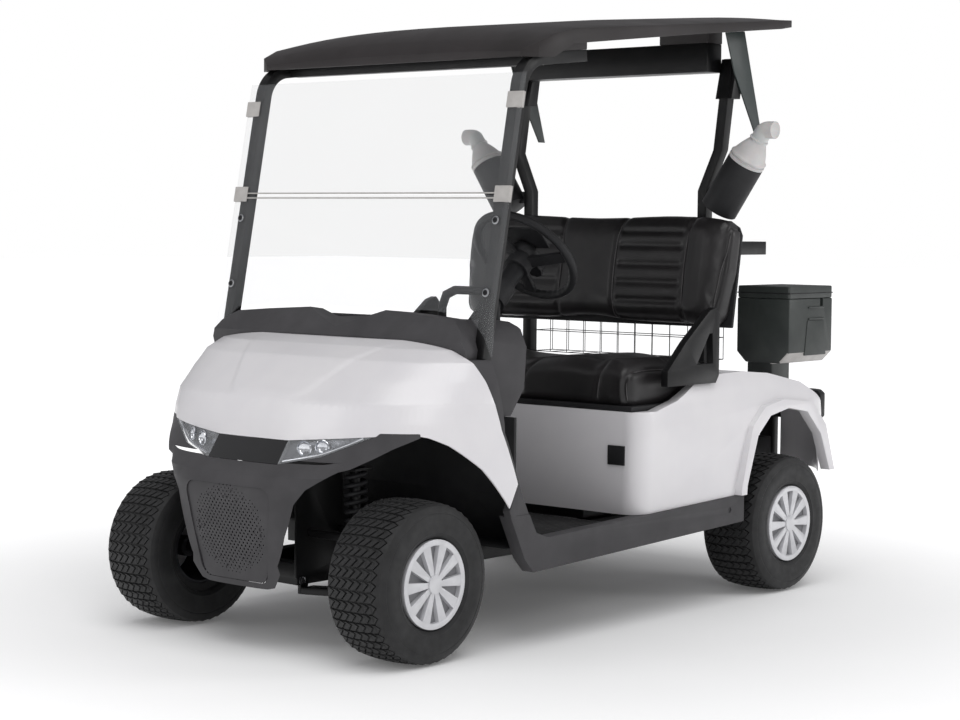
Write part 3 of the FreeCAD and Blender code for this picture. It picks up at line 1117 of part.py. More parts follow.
rack_low = s.rack_height - s.rack_arm_depth / 2
rack_high = s.rack_height + s.rack_arm_depth / 2
rack_front = pillar_x - half_pillar - s.seat_gap
rack_plate_x = behind(s.rack_rear_behind)
cross_half = s.pillar_low_half + half_pillar
rack = block((rack_front, -cross_half, rack_low), (rack_front - s.rack_cross_depth, cross_half, rack_high))
for side in (1, -1):
    rack_arm = block((rack_front, side * (s.rack_arm_half - s.rack_arm_width / 2), rack_low),
                     (rack_plate_x, side * (s.rack_arm_half + s.rack_arm_width / 2), rack_high))
    rack = rack.fuse(rack_arm)
plate_half = s.rack_arm_half + s.rack_arm_width / 2
rack = rack.fuse(block((rack_plate_x + s.rack_bar_width, -plate_half, rack_low),
                       (rack_plate_x - s.rack_loop_radius, plate_half, rack_high)))
for side in (1, -1):
    saddle = Part.makeCylinder(s.rack_loop_radius, s.rack_arm_depth + 2 * over,
                               Vector(rack_plate_x - s.rack_loop_radius, side * s.rack_loop_half, rack_low - over))
    rack = rack.cut(saddle)
add_part("bag_rack", rack.removeSplitter())

# Bag tray on the rear rails

open_tray("bag_tray", "bag_tray_rear_behind - bag_bay_front_behind - seam_gap", "2 * bag_tray_half",
          "bag_tray_wall_height", "bag_tray_wall", "bag_tray_floor",
          (axle_formula + " - (bag_tray_rear_behind + bag_bay_front_behind + seam_gap) / 2", "seam_gap * 0",
           rail_formula + " + kick_rise"))

# Basket behind the seat back

open_tray("basket", "basket_length", "2 * basket_half", "basket_height", "basket_wall", "basket_wall",
          (axle_formula + " - pillar_foot_behind - pillar_size / 2 - seat_gap - basket_length / 2", "seam_gap * 0",
           "basket_bottom"))

# Rear bumper and tail lamps

bumper_front = behind(s.body_rear_behind) - s.seat_gap
bumper_rear = behind(s.body_rear_behind + s.bumper_depth)


def bumper_section(height, inset):
    """Plan outline of the bumper with its two rear corners rounded."""
    rear_x, w, r = bumper_rear + inset, s.bumper_half - inset, s.bumper_corner - inset
    bend = r * (1 - math.sqrt(0.5))
    return Part.Wire([
        Part.makeLine(Vector(bumper_front, -w, height), Vector(bumper_front, w, height)),
        Part.makeLine(Vector(bumper_front, w, height), Vector(rear_x + r, w, height)),
        Part.Arc(Vector(rear_x + r, w, height), Vector(rear_x + bend, w - bend, height),
                 Vector(rear_x, w - r, height)).toShape(),
        Part.makeLine(Vector(rear_x, w - r, height), Vector(rear_x, -w + r, height)),
        Part.Arc(Vector(rear_x, -w + r, height), Vector(rear_x + bend, -w + bend, height),
                 Vector(rear_x + r, -w, height)).toShape(),
        Part.makeLine(Vector(rear_x + r, -w, height), Vector(bumper_front, -w, height))])


bumper_top = s.bumper_bottom + s.bumper_height
add_part("rear_bumper", loft([
    bumper_section(s.bumper_bottom, s.bumper_edge), bumper_section(s.bumper_bottom + s.bumper_edge, 0),
    bumper_section(bumper_top - s.bumper_edge, 0), bumper_section(bumper_top, s.bumper_edge)]))
lamp_x = behind(s.body_rear_behind)
lamp_y = (s.bag_bay_half + s.bumper_half) / 2
lamp = Part.makeCylinder(s.tail_lamp_radius, over + s.tail_lamp_depth,
                         Vector(lamp_x + over, lamp_y, s.bumper_bottom - s.tail_lamp_radius * 1.5), Vector(-1, 0, 0))
lamp = lamp.cut(body_solid(-s.seat_gap))
add_part("tail_lamps", both_sides(lamp))

# Cooler with its lid

cooler_x = behind(s.cooler_front_behind)
cooler_rear = cooler_x - s.cooler_length
lid_base = s.cooler_bottom + s.cooler_height - s.cooler_lid_height
cooler_box = block((cooler_x, s.cooler_inner_half, s.cooler_bottom), (cooler_rear, s.cooler_outer_half, lid_base))
cooler_box = cooler_box.makeChamfer(s.cooler_chamfer, [e for e in cooler_box.Edges if along(0)(e)
                                                       and abs(e.CenterOfMass.z - s.cooler_bottom) < s.seam_gap])
cooler_hollow = block((cooler_x - s.cooler_wall, s.cooler_inner_half + s.cooler_wall, s.cooler_bottom + s.cooler_chamfer + s.cooler_wall / 2),
                      (cooler_rear + s.cooler_wall, s.cooler_outer_half - s.cooler_wall, lid_base + over))
lid = block((cooler_x, s.cooler_inner_half, lid_base + s.seat_gap), (cooler_rear, s.cooler_outer_half, s.cooler_bottom + s.cooler_height))
lid = round_edges(lid, s.cooler_edge, along(2))
add_part("cooler_lid", lid)
# riser from the sloping deck up to the cooler
riser = block((cooler_x - s.riser_inset, s.riser_inner_half, s.seat_rim_height),
              (cooler_x - s.riser_inset - s.riser_length, s.riser_inner_half + s.riser_width, s.cooler_bottom))
riser = riser.cut(body_solid(-s.seat_gap).common(under_top_line(-s.seat_gap)))
add_part("cooler_box", cooler_box.cut(cooler_hollow).fuse(riser).removeSplitter())

# Rear axle with motor, drums and springs

axle_z = s.tyre_radius
centre = Vector(rear_axle, 0, axle_z)
spindle_end = s.rear_track / 2 + s.rim_width / 4
tube = rod(Vector(rear_axle, -s.drum_inner_half, axle_z), Vector(rear_axle, s.drum_inner_half, axle_z), s.axle_tube_radius)
gearbox = rod(Vector(rear_axle, -s.gearbox_width / 2, axle_z), Vector(rear_axle, s.gearbox_width / 2, axle_z), s.gearbox_radius)
motor = rod(Vector(rear_axle + s.gearbox_radius * 0.8, s.gearbox_width / 2, axle_z + over),
            Vector(rear_axle + s.gearbox_radius * 0.8, -s.motor_length, axle_z + over), s.motor_radius)
axle_parts = [gearbox, motor]
for side in (1, -1):
    drum_face = side * (s.drum_inner_half + s.drum_width)
    axle_parts.append(rod(Vector(rear_axle, side * s.drum_inner_half, axle_z), Vector(rear_axle, drum_face, axle_z), s.drum_radius))
    axle_parts.append(rod(Vector(rear_axle, drum_face, axle_z), Vector(rear_axle, side * spindle_end, axle_z), s.spindle_radius))
add_part("rear_axle", tube.fuse(axle_parts).removeSplitter())

leaf_low = axle_z + s.axle_tube_radius + s.seat_gap
leaf_rise = s.rail_bottom + s.kick_rise - s.seat_gap - s.leaf_thickness - leaf_low
leaf_points = [(rear_axle + s.leaf_half_length, leaf_low + leaf_rise), (rear_axle + s.leaf_half_length * 0.5, leaf_low + leaf_rise * 0.3),
               (rear_axle + s.leaf_half_length * 0.2, leaf_low), (rear_axle - s.leaf_half_length * 0.2, leaf_low),
               (rear_axle - s.leaf_half_length * 0.5, leaf_low + leaf_rise * 0.3),
               (rear_axle - s.leaf_half_length, leaf_low + leaf_rise)]
leaf_view = leaf_points + [(x, z + s.leaf_thickness) for x, z in reversed(leaf_points)]
leaf = side_prism(leaf_view, s.rail_half_spacing - s.leaf_width / 2, s.rail_half_spacing + s.leaf_width / 2)
add_part("leaf_springs", both_sides(leaf))

# Front suspension

kingpin_half = s.front_track / 2 - s.kingpin_offset
low_arm_top = s.arm_height + s.arm_thickness / 2
high_arm_bottom = s.top_arm_height + s.arm_thickness / 2
arm_root = s.front_rail_half_spacing + s.rail_width / 2 + s.seat_gap
arm_tip = kingpin_half + s.arm_tip_width / 2


def wishbone(height, root_span):
    """Flat triangular arm from the front rail out to the kingpin."""
    half_tip = s.arm_tip_width / 2
    outer = [(ahead(root_span / 2), arm_root), (ahead(half_tip), arm_tip - half_tip), (ahead(half_tip), arm_tip),
             (behind(half_tip), arm_tip), (behind(half_tip), arm_tip - half_tip), (behind(root_span / 2), arm_root)]
    z = height - s.arm_thickness / 2
    plate = Part.Face(Part.makePolygon([Vector(x, y, z) for x, y in outer + outer[:1]])).extrude(Vector(0, 0, s.arm_thickness))
    inner = [(ahead(root_span / 2 - s.arm_bar_width), arm_root - over), (front_axle, s.damper_foot_half - s.damper_radius * 2),
             (behind(root_span / 2 - s.arm_bar_width), arm_root - over)]
    window = Part.Face(Part.makePolygon([Vector(x, y, z - over) for x, y in inner + inner[:1]])).extrude(
        Vector(0, 0, s.arm_thickness + 2 * over))
    return plate.cut(window)


low_arm = wishbone(s.arm_height, s.arm_root_span)

# upper arm: two parallel bars that let the spring through, closed by a short nose at the kingpin
half_tip = s.arm_tip_width / 2
high_z = s.top_arm_height + s.arm_thickness / 2
shoulder = s.top_arm_shoulder_half
spring_gap = s.top_arm_root_span / 2 - s.top_arm_bar_width


def flat_plate(outline, low_z, thickness):
    """Level plate from its plan outline, points as (distance ahead of the front axle, y)."""
    corners = [Vector(ahead(a), y, low_z) for a, y in outline]
    return Part.Face(Part.makePolygon(corners + corners[:1])).extrude(Vector(0, 0, thickness))


high_outer = [(s.top_arm_root_span / 2, arm_root), (s.top_arm_root_span / 2, shoulder),
              (half_tip, kingpin_half), (half_tip, arm_tip)]
high_inner = [(spring_gap, arm_root - over), (spring_gap, shoulder - s.top_arm_bar_width / 2),
              (half_tip / 2, shoulder + s.arm_bar_width)]
high_outer += [(-a, y) for a, y in reversed(high_outer)]
high_inner += [(-a, y) for a, y in reversed(high_inner)]
high_arm = flat_plate(high_outer, high_z, s.arm_thickness).cut(
    flat_plate(high_inner, high_z - over, s.arm_thickness + 2 * over))
add_part("front_arms", Part.makeCompound([low_arm, mirrored(low_arm), high_arm, mirrored(high_arm)]))

foot = Vector(front_axle, s.damper_foot_half, low_arm_top)
head = Vector(front_axle, s.damper_head_half, s.damper_head_height)
direction = head - foot
direction.normalize()
damper = rod(foot - direction * over, head + direction * over, s.damper_radius)
damper = damper.common(block((ahead(over), 0, low_arm_top + s.seat_gap), (behind(over), wide, s.damper_head_height - s.seat_gap)))
dampers = add_part("dampers", both_sides(damper))

# coil spring round each damper, wound from square wire in short straight runs
# the spring leans with the damper, so its top coil keeps clear of the level tower
lean_room = (s.coil_radius + 2 * s.coil_wire_radius) * abs(direction.y)
lift = s.coil_length - 2 * s.coil_wire_radius - 2 * s.seat_gap - lean_room
runs = int(s.coil_turns * s.coil_runs)
winding = []
for step in range(runs + 1):
    turned_by = 2 * math.pi * step / s.coil_runs
    winding.append(Vector(s.coil_radius * math.cos(turned_by), s.coil_radius * math.sin(turned_by),
                          lift * step / runs))
first_run = winding[1] - winding[0]
first_run.normalize()
across = Vector(0, 0, 1).cross(first_run)
across.normalize()
upwards = first_run.cross(across)
wire_end = [winding[0] + across * (a * s.coil_wire_radius) + upwards * (b * s.coil_wire_radius)
            for a, b in ((-1, -1), (1, -1), (1, 1), (-1, 1))]
coil = Part.makePolygon(winding).makePipeShell([Part.makePolygon(wire_end + wire_end[:1])], True, False, 1)
coil = placed(coil, head - direction * (s.coil_length - s.coil_wire_radius), Rotation(Vector(0, 0, 1), direction))
# spring perch on the damper
perch_top = head - direction * (s.coil_length + s.seat_gap)
perch = rod(perch_top, perch_top - direction * s.coil_perch, s.coil_radius + s.coil_wire_radius)
dampers.Shape = both_sides(damper.fuse(perch))
add_part("coil_springs", both_sides(coil))

# Knuckles, tyres and wheels


def add_knuckle(name, side):
    y = side * kingpin_half
    pin = rod(Vector(front_axle, y, low_arm_top + s.turning_gap), Vector(front_axle, y, high_arm_bottom - s.turning_gap),
              s.kingpin_radius)
    hub_end = side * (s.front_track / 2 + s.rim_width / 4)
    spindle = rod(Vector(front_axle, y, axle_z), Vector(front_axle, hub_end, axle_z), s.spindle_radius)
    body = block((front_axle - s.knuckle_width / 2, y - side * s.knuckle_width / 2, axle_z - s.knuckle_height / 2),
                 (front_axle + s.knuckle_width / 2, y + side * s.knuckle_width * 0.4, axle_z + s.knuckle_height / 2))
    arm = block((front_axle, y - s.steering_arm_width / 2, axle_z - s.knuckle_height / 2),
                (front_axle - s.steering_arm_length, y + s.steering_arm_width / 2,
                 axle_z - s.knuckle_height / 2 + s.steering_arm_thickness))
    add_part(name, pin.fuse([spindle, body, arm]).removeSplitter())


tyre_profile_shares = [  # radius and half width
    (0.463, 0.76), (0.463, -0.76), (0.568, -0.80), (0.740, -1.00), (0.930, -0.90), (1.000, -0.60),
    (1.000, 0.60), (0.930, 0.90), (0.740, 1.00), (0.568, 0.80),
]


hub_inner_share = 0.3


def add_wheel(corner_name, x, y):
    outward = 1 if y > 0 else -1
    profile = []
    for radius_share, width_share in tyre_profile_shares:
        radius = max(s.rim_radius + s.seat_gap, s.tyre_radius * radius_share)
        if radius_share < 0.5:
            radius = s.rim_radius + s.seat_gap
        profile.append((radius, s.tyre_width / 2 * width_share))
    tyre = stepped_turn(profile, s.wheel_sides)
    place = Placement(Vector(x, y, axle_z), Rotation())
    add_part("tyre_" + corner_name, tyre, place)
    face = s.tyre_width / 2 - s.cover_inset
    plate = face - s.cover_depth
    half_rim = s.rim_width / 2 - s.cover_plate
    bore = s.spindle_radius + s.turning_gap
    hub_inner = -half_rim * hub_inner_share
    rim_profile = [(bore, hub_inner), (s.hub_radius, hub_inner), (s.hub_radius, plate - s.cover_plate),
                   (s.rim_radius - s.rim_wall, plate - s.cover_plate), (s.rim_radius - s.rim_wall, -half_rim),
                   (s.rim_radius, -half_rim), (s.rim_radius, plate - s.seam_gap), (s.cover_radius, plate + s.seam_gap),
                   (s.cover_radius, face), (s.cover_radius - s.cover_ring, face), (s.cover_radius - s.cover_ring, plate),
                   (s.cap_radius, plate), (s.cap_radius, face + s.cap_rise), (0, face + s.cap_rise),
                   (0, plate - s.cover_plate), (bore, plate - s.cover_plate)]
    rim = stepped_turn(rim_profile, s.wheel_sides)
    spoke_line = [(s.cap_radius - s.seam_gap, s.spoke_root_width / 2), (s.cover_radius - s.cover_ring + s.seam_gap, s.spoke_tip_width / 2),
                  (s.cover_radius - s.cover_ring + s.seam_gap, -s.spoke_tip_width / 2), (s.cap_radius - s.seam_gap, -s.spoke_root_width / 2)]
    spoke = Part.Face(Part.makePolygon([Vector(a, plate - s.seam_gap, b) for a, b in spoke_line + spoke_line[:1]])).extrude(
        Vector(0, face - plate, 0))
    spokes = []
    for number in range(int(s.spoke_count)):
        copy = spoke.copy()
        copy.rotate(Vector(0, 0, 0), Vector(0, 1, 0), 360.0 * number / s.spoke_count)
        spokes.append(copy)
    rim = rim.fuse(spokes).removeSplitter()
    if outward < 0:
        rim = mirrored(rim)
    add_part("wheel_" + corner_name, rim, place)


for side_name, side in SIDES:
    add_knuckle("knuckle_" + side_name, side)
    add_wheel("front_" + side_name, front_axle, side * s.front_track / 2)
    add_wheel("rear_" + side_name, rear_axle, side * s.rear_track / 2)

# Steering wheel and column

turn_to_wheel = Rotation(Vector(0, 0, 1), wheel_normal)
grip = facet_ring(Vector(s.steering_radius, 0, 0), s.steering_grip_radius, Vector(1, 0, 0), Vector(0, 1, 0))
ring = stepped_turn([(corner.Point.x, corner.Point.y) for corner in grip.Vertexes], s.wheel_sides)
ring = placed(ring, Vector(0, 0, 0), Rotation(Vector(0, 1, 0), Vector(0, 0, 1)))
boss = Part.makeCylinder(s.steering_boss_radius, s.steering_boss_length, Vector(0, 0, -s.steering_dish - s.steering_boss_length / 2))
arms = []
for angle in (90, 200, 340):
    start = Vector(0, 0, -s.steering_dish)
    end = Vector(s.steering_radius * math.cos(math.radians(angle)), s.steering_radius * math.sin(math.radians(angle)), 0)
    arms.append(bar(start, end, s.steering_spoke_width, s.steering_spoke_thickness))
steering = ring.fuse([boss] + arms).removeSplitter()
add_part("steering_wheel", steering, Placement(column_top, turn_to_wheel))

column_start = column_top - wheel_normal * (s.steering_dish + s.steering_boss_length / 2 + s.turning_gap)
column = rod(column_start, column_start - wheel_normal * s.column_length, s.column_radius)
collar = rod(column_start - wheel_normal * s.column_collar_length, column_start - wheel_normal * s.column_collar_length * 2,
             s.column_collar_radius)
column = column.fuse(collar).cut(side_prism(dash_view, -s.dash_half_width, s.dash_half_width))
column = max(column.Solids, key=lambda solid: solid.Volume)
add_part("steering_column", column)

# Pedals on the toe board

pedals = []
for half in (s.brake_half, s.throttle_half):
    pad = block((behind(s.pedal_behind), half - s.pedal_width / 2, s.pedal_bottom),
                (behind(s.pedal_behind + s.pedal_thickness), half + s.pedal_width / 2, s.pedal_bottom + s.pedal_height))
    stem = block((behind(s.pedal_behind), half - s.pedal_arm_width / 2, s.pedal_bottom + s.pedal_height / 2),
                 (behind(s.toe_top_behind + s.floor_thickness + s.seat_gap), half + s.pedal_arm_width / 2,
                  s.pedal_bottom + s.pedal_height / 2 + s.pedal_arm_width))
    toe_wedge = [(behind(s.toe_bend_behind), floor_high), (behind(s.toe_top_behind + t), s.toe_top_height),
                 (behind(s.toe_top_behind - over), s.toe_top_height), (behind(s.toe_top_behind - over), floor_high)]
    pedals.append(pad.fuse(stem).cut(side_prism(toe_wedge, -wide, wide)))
add_part("pedals", Part.makeCompound(pedals))

# Checks and output

doc.recompute()
os.makedirs("parts", exist_ok=True)
pieces = [piece for piece in doc.Objects if piece.TypeId in ("Part::Feature", "Part::Box", "PartDesign::Body")]
for item in doc.Objects:
    if "Invalid" in item.State or "Error" in item.State:
        raise RuntimeError("failed: " + item.Label)
for piece in pieces:
    if piece.Shape.isNull() or not piece.Shape.isValid():
        raise RuntimeError("bad shape: " + piece.Label)
    piece.Shape.exportStep("parts/" + piece.Label + ".step")
print(len(pieces), "pieces")
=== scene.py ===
import json
import math

import bmesh
import bpy
from mathutils import Matrix, Vector
from mathutils.bvhtree import BVHTree
from mathutils.kdtree import KDTree

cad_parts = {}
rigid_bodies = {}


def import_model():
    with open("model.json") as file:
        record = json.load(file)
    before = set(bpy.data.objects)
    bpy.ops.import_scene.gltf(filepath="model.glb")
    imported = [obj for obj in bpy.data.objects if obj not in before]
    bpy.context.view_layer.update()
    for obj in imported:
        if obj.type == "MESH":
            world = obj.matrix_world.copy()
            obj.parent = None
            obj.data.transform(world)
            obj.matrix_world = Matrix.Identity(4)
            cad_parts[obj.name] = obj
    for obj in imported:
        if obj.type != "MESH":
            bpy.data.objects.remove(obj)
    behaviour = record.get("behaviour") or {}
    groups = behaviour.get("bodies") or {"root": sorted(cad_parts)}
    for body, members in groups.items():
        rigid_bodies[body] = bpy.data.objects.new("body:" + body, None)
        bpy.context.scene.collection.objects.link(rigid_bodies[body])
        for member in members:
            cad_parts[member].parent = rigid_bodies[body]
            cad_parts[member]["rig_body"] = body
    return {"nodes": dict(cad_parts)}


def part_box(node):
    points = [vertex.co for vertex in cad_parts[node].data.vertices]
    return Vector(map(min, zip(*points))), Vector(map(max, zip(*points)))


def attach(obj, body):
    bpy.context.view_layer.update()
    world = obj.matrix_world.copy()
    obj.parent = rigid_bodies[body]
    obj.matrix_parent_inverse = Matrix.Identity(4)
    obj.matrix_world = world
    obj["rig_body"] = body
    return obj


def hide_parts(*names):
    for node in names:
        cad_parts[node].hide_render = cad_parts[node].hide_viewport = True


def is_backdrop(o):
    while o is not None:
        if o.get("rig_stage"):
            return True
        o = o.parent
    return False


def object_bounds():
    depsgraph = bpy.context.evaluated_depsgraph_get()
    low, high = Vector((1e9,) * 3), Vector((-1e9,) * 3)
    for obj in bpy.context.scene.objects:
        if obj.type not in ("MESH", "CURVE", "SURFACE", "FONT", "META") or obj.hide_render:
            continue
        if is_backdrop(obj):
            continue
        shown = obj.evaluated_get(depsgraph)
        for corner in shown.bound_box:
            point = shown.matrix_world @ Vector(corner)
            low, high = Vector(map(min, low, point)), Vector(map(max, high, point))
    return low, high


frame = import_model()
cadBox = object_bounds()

# Two-seat golf cart: the finishes, the stitched seat, the treaded tyres and the small fittings.
# Metres, X forward, Y to the driver's side, Z up. What repeats is modelled once and copied.

mm = 0.001
scene = bpy.context.scene
nodes = frame["nodes"]
bodyOf = {name: node["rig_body"] for name, node in nodes.items()}
# distances under which two points are one, and angles in degrees
meshing = {"merge": 0.01 * mm, "nodeMerge": 0.02 * mm, "flat": 0.5, "untouched": 0.01, "sharp": 32}
farOff = 2.0


def say(stage):
    print("stage:", stage)


def fromMm(sizes):
    # millimetres as metres: a number, points or a dictionary of them
    if isinstance(sizes, dict):
        return {key: fromMm(part) for key, part in sizes.items()}
    if isinstance(sizes, (list, tuple)):
        return [fromMm(part) for part in sizes]
    return sizes * mm


def shareOf(value, start, end):
    # how far a value is from start to end, 0 before and 1 after them
    return max(0.0, min(1.0, (value - start) / (end - start)))


def hump(value, height, middle, width):
    # a smooth rise to the height in the middle, nearly nothing two widths away
    return height * math.exp(-((value - middle) / width) ** 2)


# Tools for modelling

def takeUp(piece):
    # operators act on all that is selected, so only this piece is
    bpy.ops.object.select_all(action="DESELECT")
    piece.select_set(True)
    bpy.context.view_layer.objects.active = piece


def openMesh(piece, kind="FACE", action="DESELECT"):
    takeUp(piece)
    bpy.ops.object.mode_set(mode="EDIT")
    bpy.ops.mesh.select_mode(type=kind)
    bpy.ops.mesh.select_all(action=action)


def closeMesh():
    bpy.ops.object.mode_set(mode="OBJECT")


def pick(piece, kind, test):
    # leaves the piece in edit mode with the faces or edges selected that pass the test
    openMesh(piece, kind)
    shape = bmesh.from_edit_mesh(piece.data)
    for part in shape.faces if kind == "FACE" else shape.edges:
        part.select_set(bool(test(part)))
    bmesh.update_edit_mesh(piece.data)


def modify(piece, kind, **settings):
    takeUp(piece)
    modifier = piece.modifiers.new(kind, kind)
    for key, value in settings.items():
        setattr(modifier, key, value)
    bpy.ops.object.modifier_apply(modifier=modifier.name)


def called(piece, name):
    piece.name = name
    piece.data.name = name
    return piece


def added(name, operator, **settings):
    # a new piece, made by one of Blender's own primitives
    bpy.ops.object.select_all(action="DESELECT")
    operator(**settings)
    return called(bpy.context.active_object, name)


def tidyFaces(piece):
    openMesh(piece, "FACE", "SELECT")
    bpy.ops.mesh.remove_doubles(threshold=meshing["merge"])
    bpy.ops.mesh.normals_make_consistent(inside=False)
    closeMesh()


def linked(name, data):
    thing = bpy.data.objects.new(name, data)
    scene.collection.objects.link(thing)
    return thing


def twin(piece, name, move=Matrix.Identity(4)):
    # a copy with a mesh of its own, moved by a matrix
    copy = called(linked(name, piece.data.copy()), name)
    copy.data.transform(move)
    if move.determinant() < 0:
        tidyFaces(copy)
    return copy


def mirrorY(piece, name):
    return twin(piece, name, Matrix.Diagonal((1, -1, 1, 1)))


def joinAll(pieces, name):
    takeUp(pieces[0])
    for piece in pieces[1:]:
        piece.select_set(True)
    bpy.ops.object.join()
    return called(pieces[0], name)


def spun(outline, name, steps):
    # a closed outline, as (radius, y), turned about the Y axis
    ring = added(name, bpy.ops.mesh.primitive_circle_add, vertices=len(outline), radius=1.0)
    for corner, (radius, y) in zip(ring.data.vertices, outline):
        corner.co = (radius, y, 0)
    openMesh(ring, "EDGE", "SELECT")
    bpy.ops.mesh.spin(steps=steps, angle=2 * math.pi, center=(0, 0, 0), axis=(0, 1, 0))
    closeMesh()
    tidyFaces(ring)
    return ring


def tubeAlong(points, radius, name, sides=3, closed=False, smooth=True):
    # a round tube on a smooth or a straight line through given points
    line = bpy.data.curves.new(name, "CURVE")
    line.dimensions = "3D"
    spline = line.splines.new("NURBS" if smooth else "POLY")
    spline.points.add(len(points) - 1)
    for knot, point in zip(spline.points, points):
        knot.co = (*point, 1.0)
    if smooth:
        spline.order_u = 4
        spline.use_endpoint_u = not closed
        spline.resolution_u = 4
    spline.use_cyclic_u = closed
    line.bevel_depth = radius
    line.bevel_resolution = sides
    line.use_fill_caps = True
    takeUp(linked(name, line))
    bpy.ops.object.convert(target="MESH")
    return called(bpy.context.active_object, name)


def slab(low, high, name, bevel=0.0, segments=2):
    # a box between two corners, its edges rounded
    low, high = Vector(low), Vector(high)
    box = added(name, bpy.ops.mesh.primitive_cube_add, size=1.0)
    box.data.transform(Matrix.Translation((low + high) / 2) @ Matrix.Diagonal((*(high - low), 1)))
    if bevel:
        modify(box, "BEVEL", width=bevel, segments=segments, limit_method="ANGLE")
    return box


def turnTo(direction, place, front="Z", top="Y"):
    # puts a piece modelled along one axis onto a direction at a place
    return Matrix.Translation(place) @ direction.to_track_quat(front, top).to_matrix().to_4x4()


def surfaceOf(piece):
    return BVHTree.FromPolygons([corner.co for corner in piece.data.vertices],
                                [tuple(face.vertices) for face in piece.data.polygons])


def fromAhead(tree, y, z):
    # where a line from far ahead first meets the surface
    return tree.ray_cast(Vector((farOff, y, z)), Vector((-1, 0, 0)))[0]


def cornersAndNormals(piece):
    # all normals are taken before the first corner moves
    normals = [corner.normal.copy() for corner in piece.data.vertices]
    return zip(piece.data.vertices, normals)


def dress(piece, finish, node, smooth=40, stands=True):
    # finish and body of a node; the piece stands for that node or is added to it
    takeUp(piece)
    bpy.ops.object.shade_smooth_by_angle(angle=math.radians(smooth))
    piece.data.materials.clear()
    piece.data.materials.append(finish)
    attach(piece, bodyOf[node])
    if stands:
        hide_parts(node)
    return piece


def paintFaces(piece, finish, test):
    # a second finish on the faces whose centre and normal pass the test
    piece.data.materials.append(finish)
    number = len(piece.data.materials) - 1
    for face in piece.data.polygons:
        if test(face.center, face.normal):
            face.material_index = number


def copyOf(node, name, bevel=0.0, flat=meshing["flat"]):
    # a merged copy of a node's mesh with its sharp edges rounded
    piece = twin(nodes[node], name)
    piece.data.materials.clear()
    takeUp(piece)
    bpy.ops.mesh.customdata_custom_splitnormals_clear()
    openMesh(piece, "FACE", "SELECT")
    bpy.ops.mesh.remove_doubles(threshold=meshing["nodeMerge"])
    bpy.ops.mesh.dissolve_limited(angle_limit=math.radians(flat))
    closeMesh()
    if bevel:
        modify(piece, "BEVEL", width=bevel, segments=2, limit_method="ANGLE",
               angle_limit=math.radians(meshing["sharp"]), miter_outer="MITER_ARC")
    return piece


def titled(node):
    first, *rest = node.split("_")
    return first + "".join(word.title() for word in rest)


# Materials

socketOf = {"specular": "Specular IOR Level", "coat": "Coat Weight", "coatRoughness": "Coat Roughness",
            "metal": "Metallic", "alpha": "Alpha", "ior": "IOR", "milk": "Subsurface Weight",
            "milkDepth": "Subsurface Scale", "sheen": "Sheen Weight", "sheenRoughness": "Sheen Roughness",
            "glow": "Emission Color"}


def linear(code):
    # an sRGB hex colour as the linear values that a shader takes
    parts = [int(code[start:start + 2], 16) / 255 for start in (0, 2, 4)]
    return tuple(part / 12.92 if part <= 0.04045 else ((part + 0.055) / 1.055) ** 2.4
                 for part in parts) + (1.0,)


def addNode(owner, kind, inputs=None, **settings):
    # one shader node with its settings; an input is a value or the output that feeds it
    node = owner.node_tree.nodes.new("ShaderNode" + kind)
    for key, value in settings.items():
        setattr(node, key, value)
    for key, value in (inputs or {}).items():
        if isinstance(value, bpy.types.NodeSocket):
            owner.node_tree.links.new(value, node.inputs[key])
        else:
            node.inputs[key].default_value = value
    return node


def ranged(owner, value, start, end, low=0.0, high=1.0, **settings):
    # a value between start and end brought between low and high
    inputs = {"Value": value, "From Min": start, "From Max": end, "To Min": low, "To Max": high}
    return addNode(owner, "MapRange", inputs, **settings).outputs["Result"]


def newFinish(name, shades, roughness, patch, grain, cells=False, rubShare=0.4, **sockets):
    # shades wander over patches of that many mm, gloss over smaller ones; grain is (size, height) in mm
    material = bpy.data.materials.new(name)
    material.use_nodes = True
    skin = material.node_tree.nodes["Principled BSDF"]
    for key, value in sockets.items():
        skin.inputs[socketOf[key]].default_value = value
    place = addNode(material, "TexCoord").outputs["Object"]

    def pattern(size, kind="TexNoise", output="Fac", **inputs):
        inputs |= {"Vector": place, "Scale": 1 / (size * mm)}
        return addNode(material, kind, inputs).outputs[output]

    share = ranged(material, pattern(patch, Detail=3.0, Roughness=0.6), start=0.34, end=0.66)
    tone = addNode(material, "Mix", {0: share, 6: linear(shades[0]), 7: linear(shades[1])}, data_type="RGBA")
    low, high = roughness
    gloss = ranged(material, pattern(patch * rubShare, Detail=5.0), start=0.3, end=0.7, low=low, high=high)
    size, height = grain
    level = pattern(size, "TexVoronoi", "Distance") if cells else pattern(size, Detail=2.0)
    bump = addNode(material, "Bump", {"Height": level, "Distance": height * mm, "Strength": 1.0})
    for output, socket in ((tone.outputs[2], "Base Color"), (gloss, "Roughness"),
                           (bump.outputs["Normal"], "Normal")):
        material.node_tree.links.new(output, skin.inputs[socket])
    return material


# Grain finer than 3 mm is under a pixel from the camera, so it is drawn 3 to 6 mm wide.

# pearl topcoat over a moulded ABS shell: cool white under a hard clear coat
pearlPaint = newFinish("pearl_clearcoat_paint", ("DAD8DB", "E0DEE0"), (0.3, 0.38), 260, (5, 0.012),
                       coat=0.7, coatRoughness=0.24, specular=0.35)
# sprayed polyester powder on steel tube: satin black with a faint orange peel
powderBlack = newFinish("satin_powder_coat", ("0D0D0E", "141415"), (0.34, 0.46), 120, (6, 0.05), specular=0.3)
# injection-moulded polypropylene: black, evenly grained
mouldedBlack = newFinish("grained_polypropylene", ("18181A", "202022"), (0.52, 0.64), 90, (3.5, 0.08), True,
                         specular=0.35)
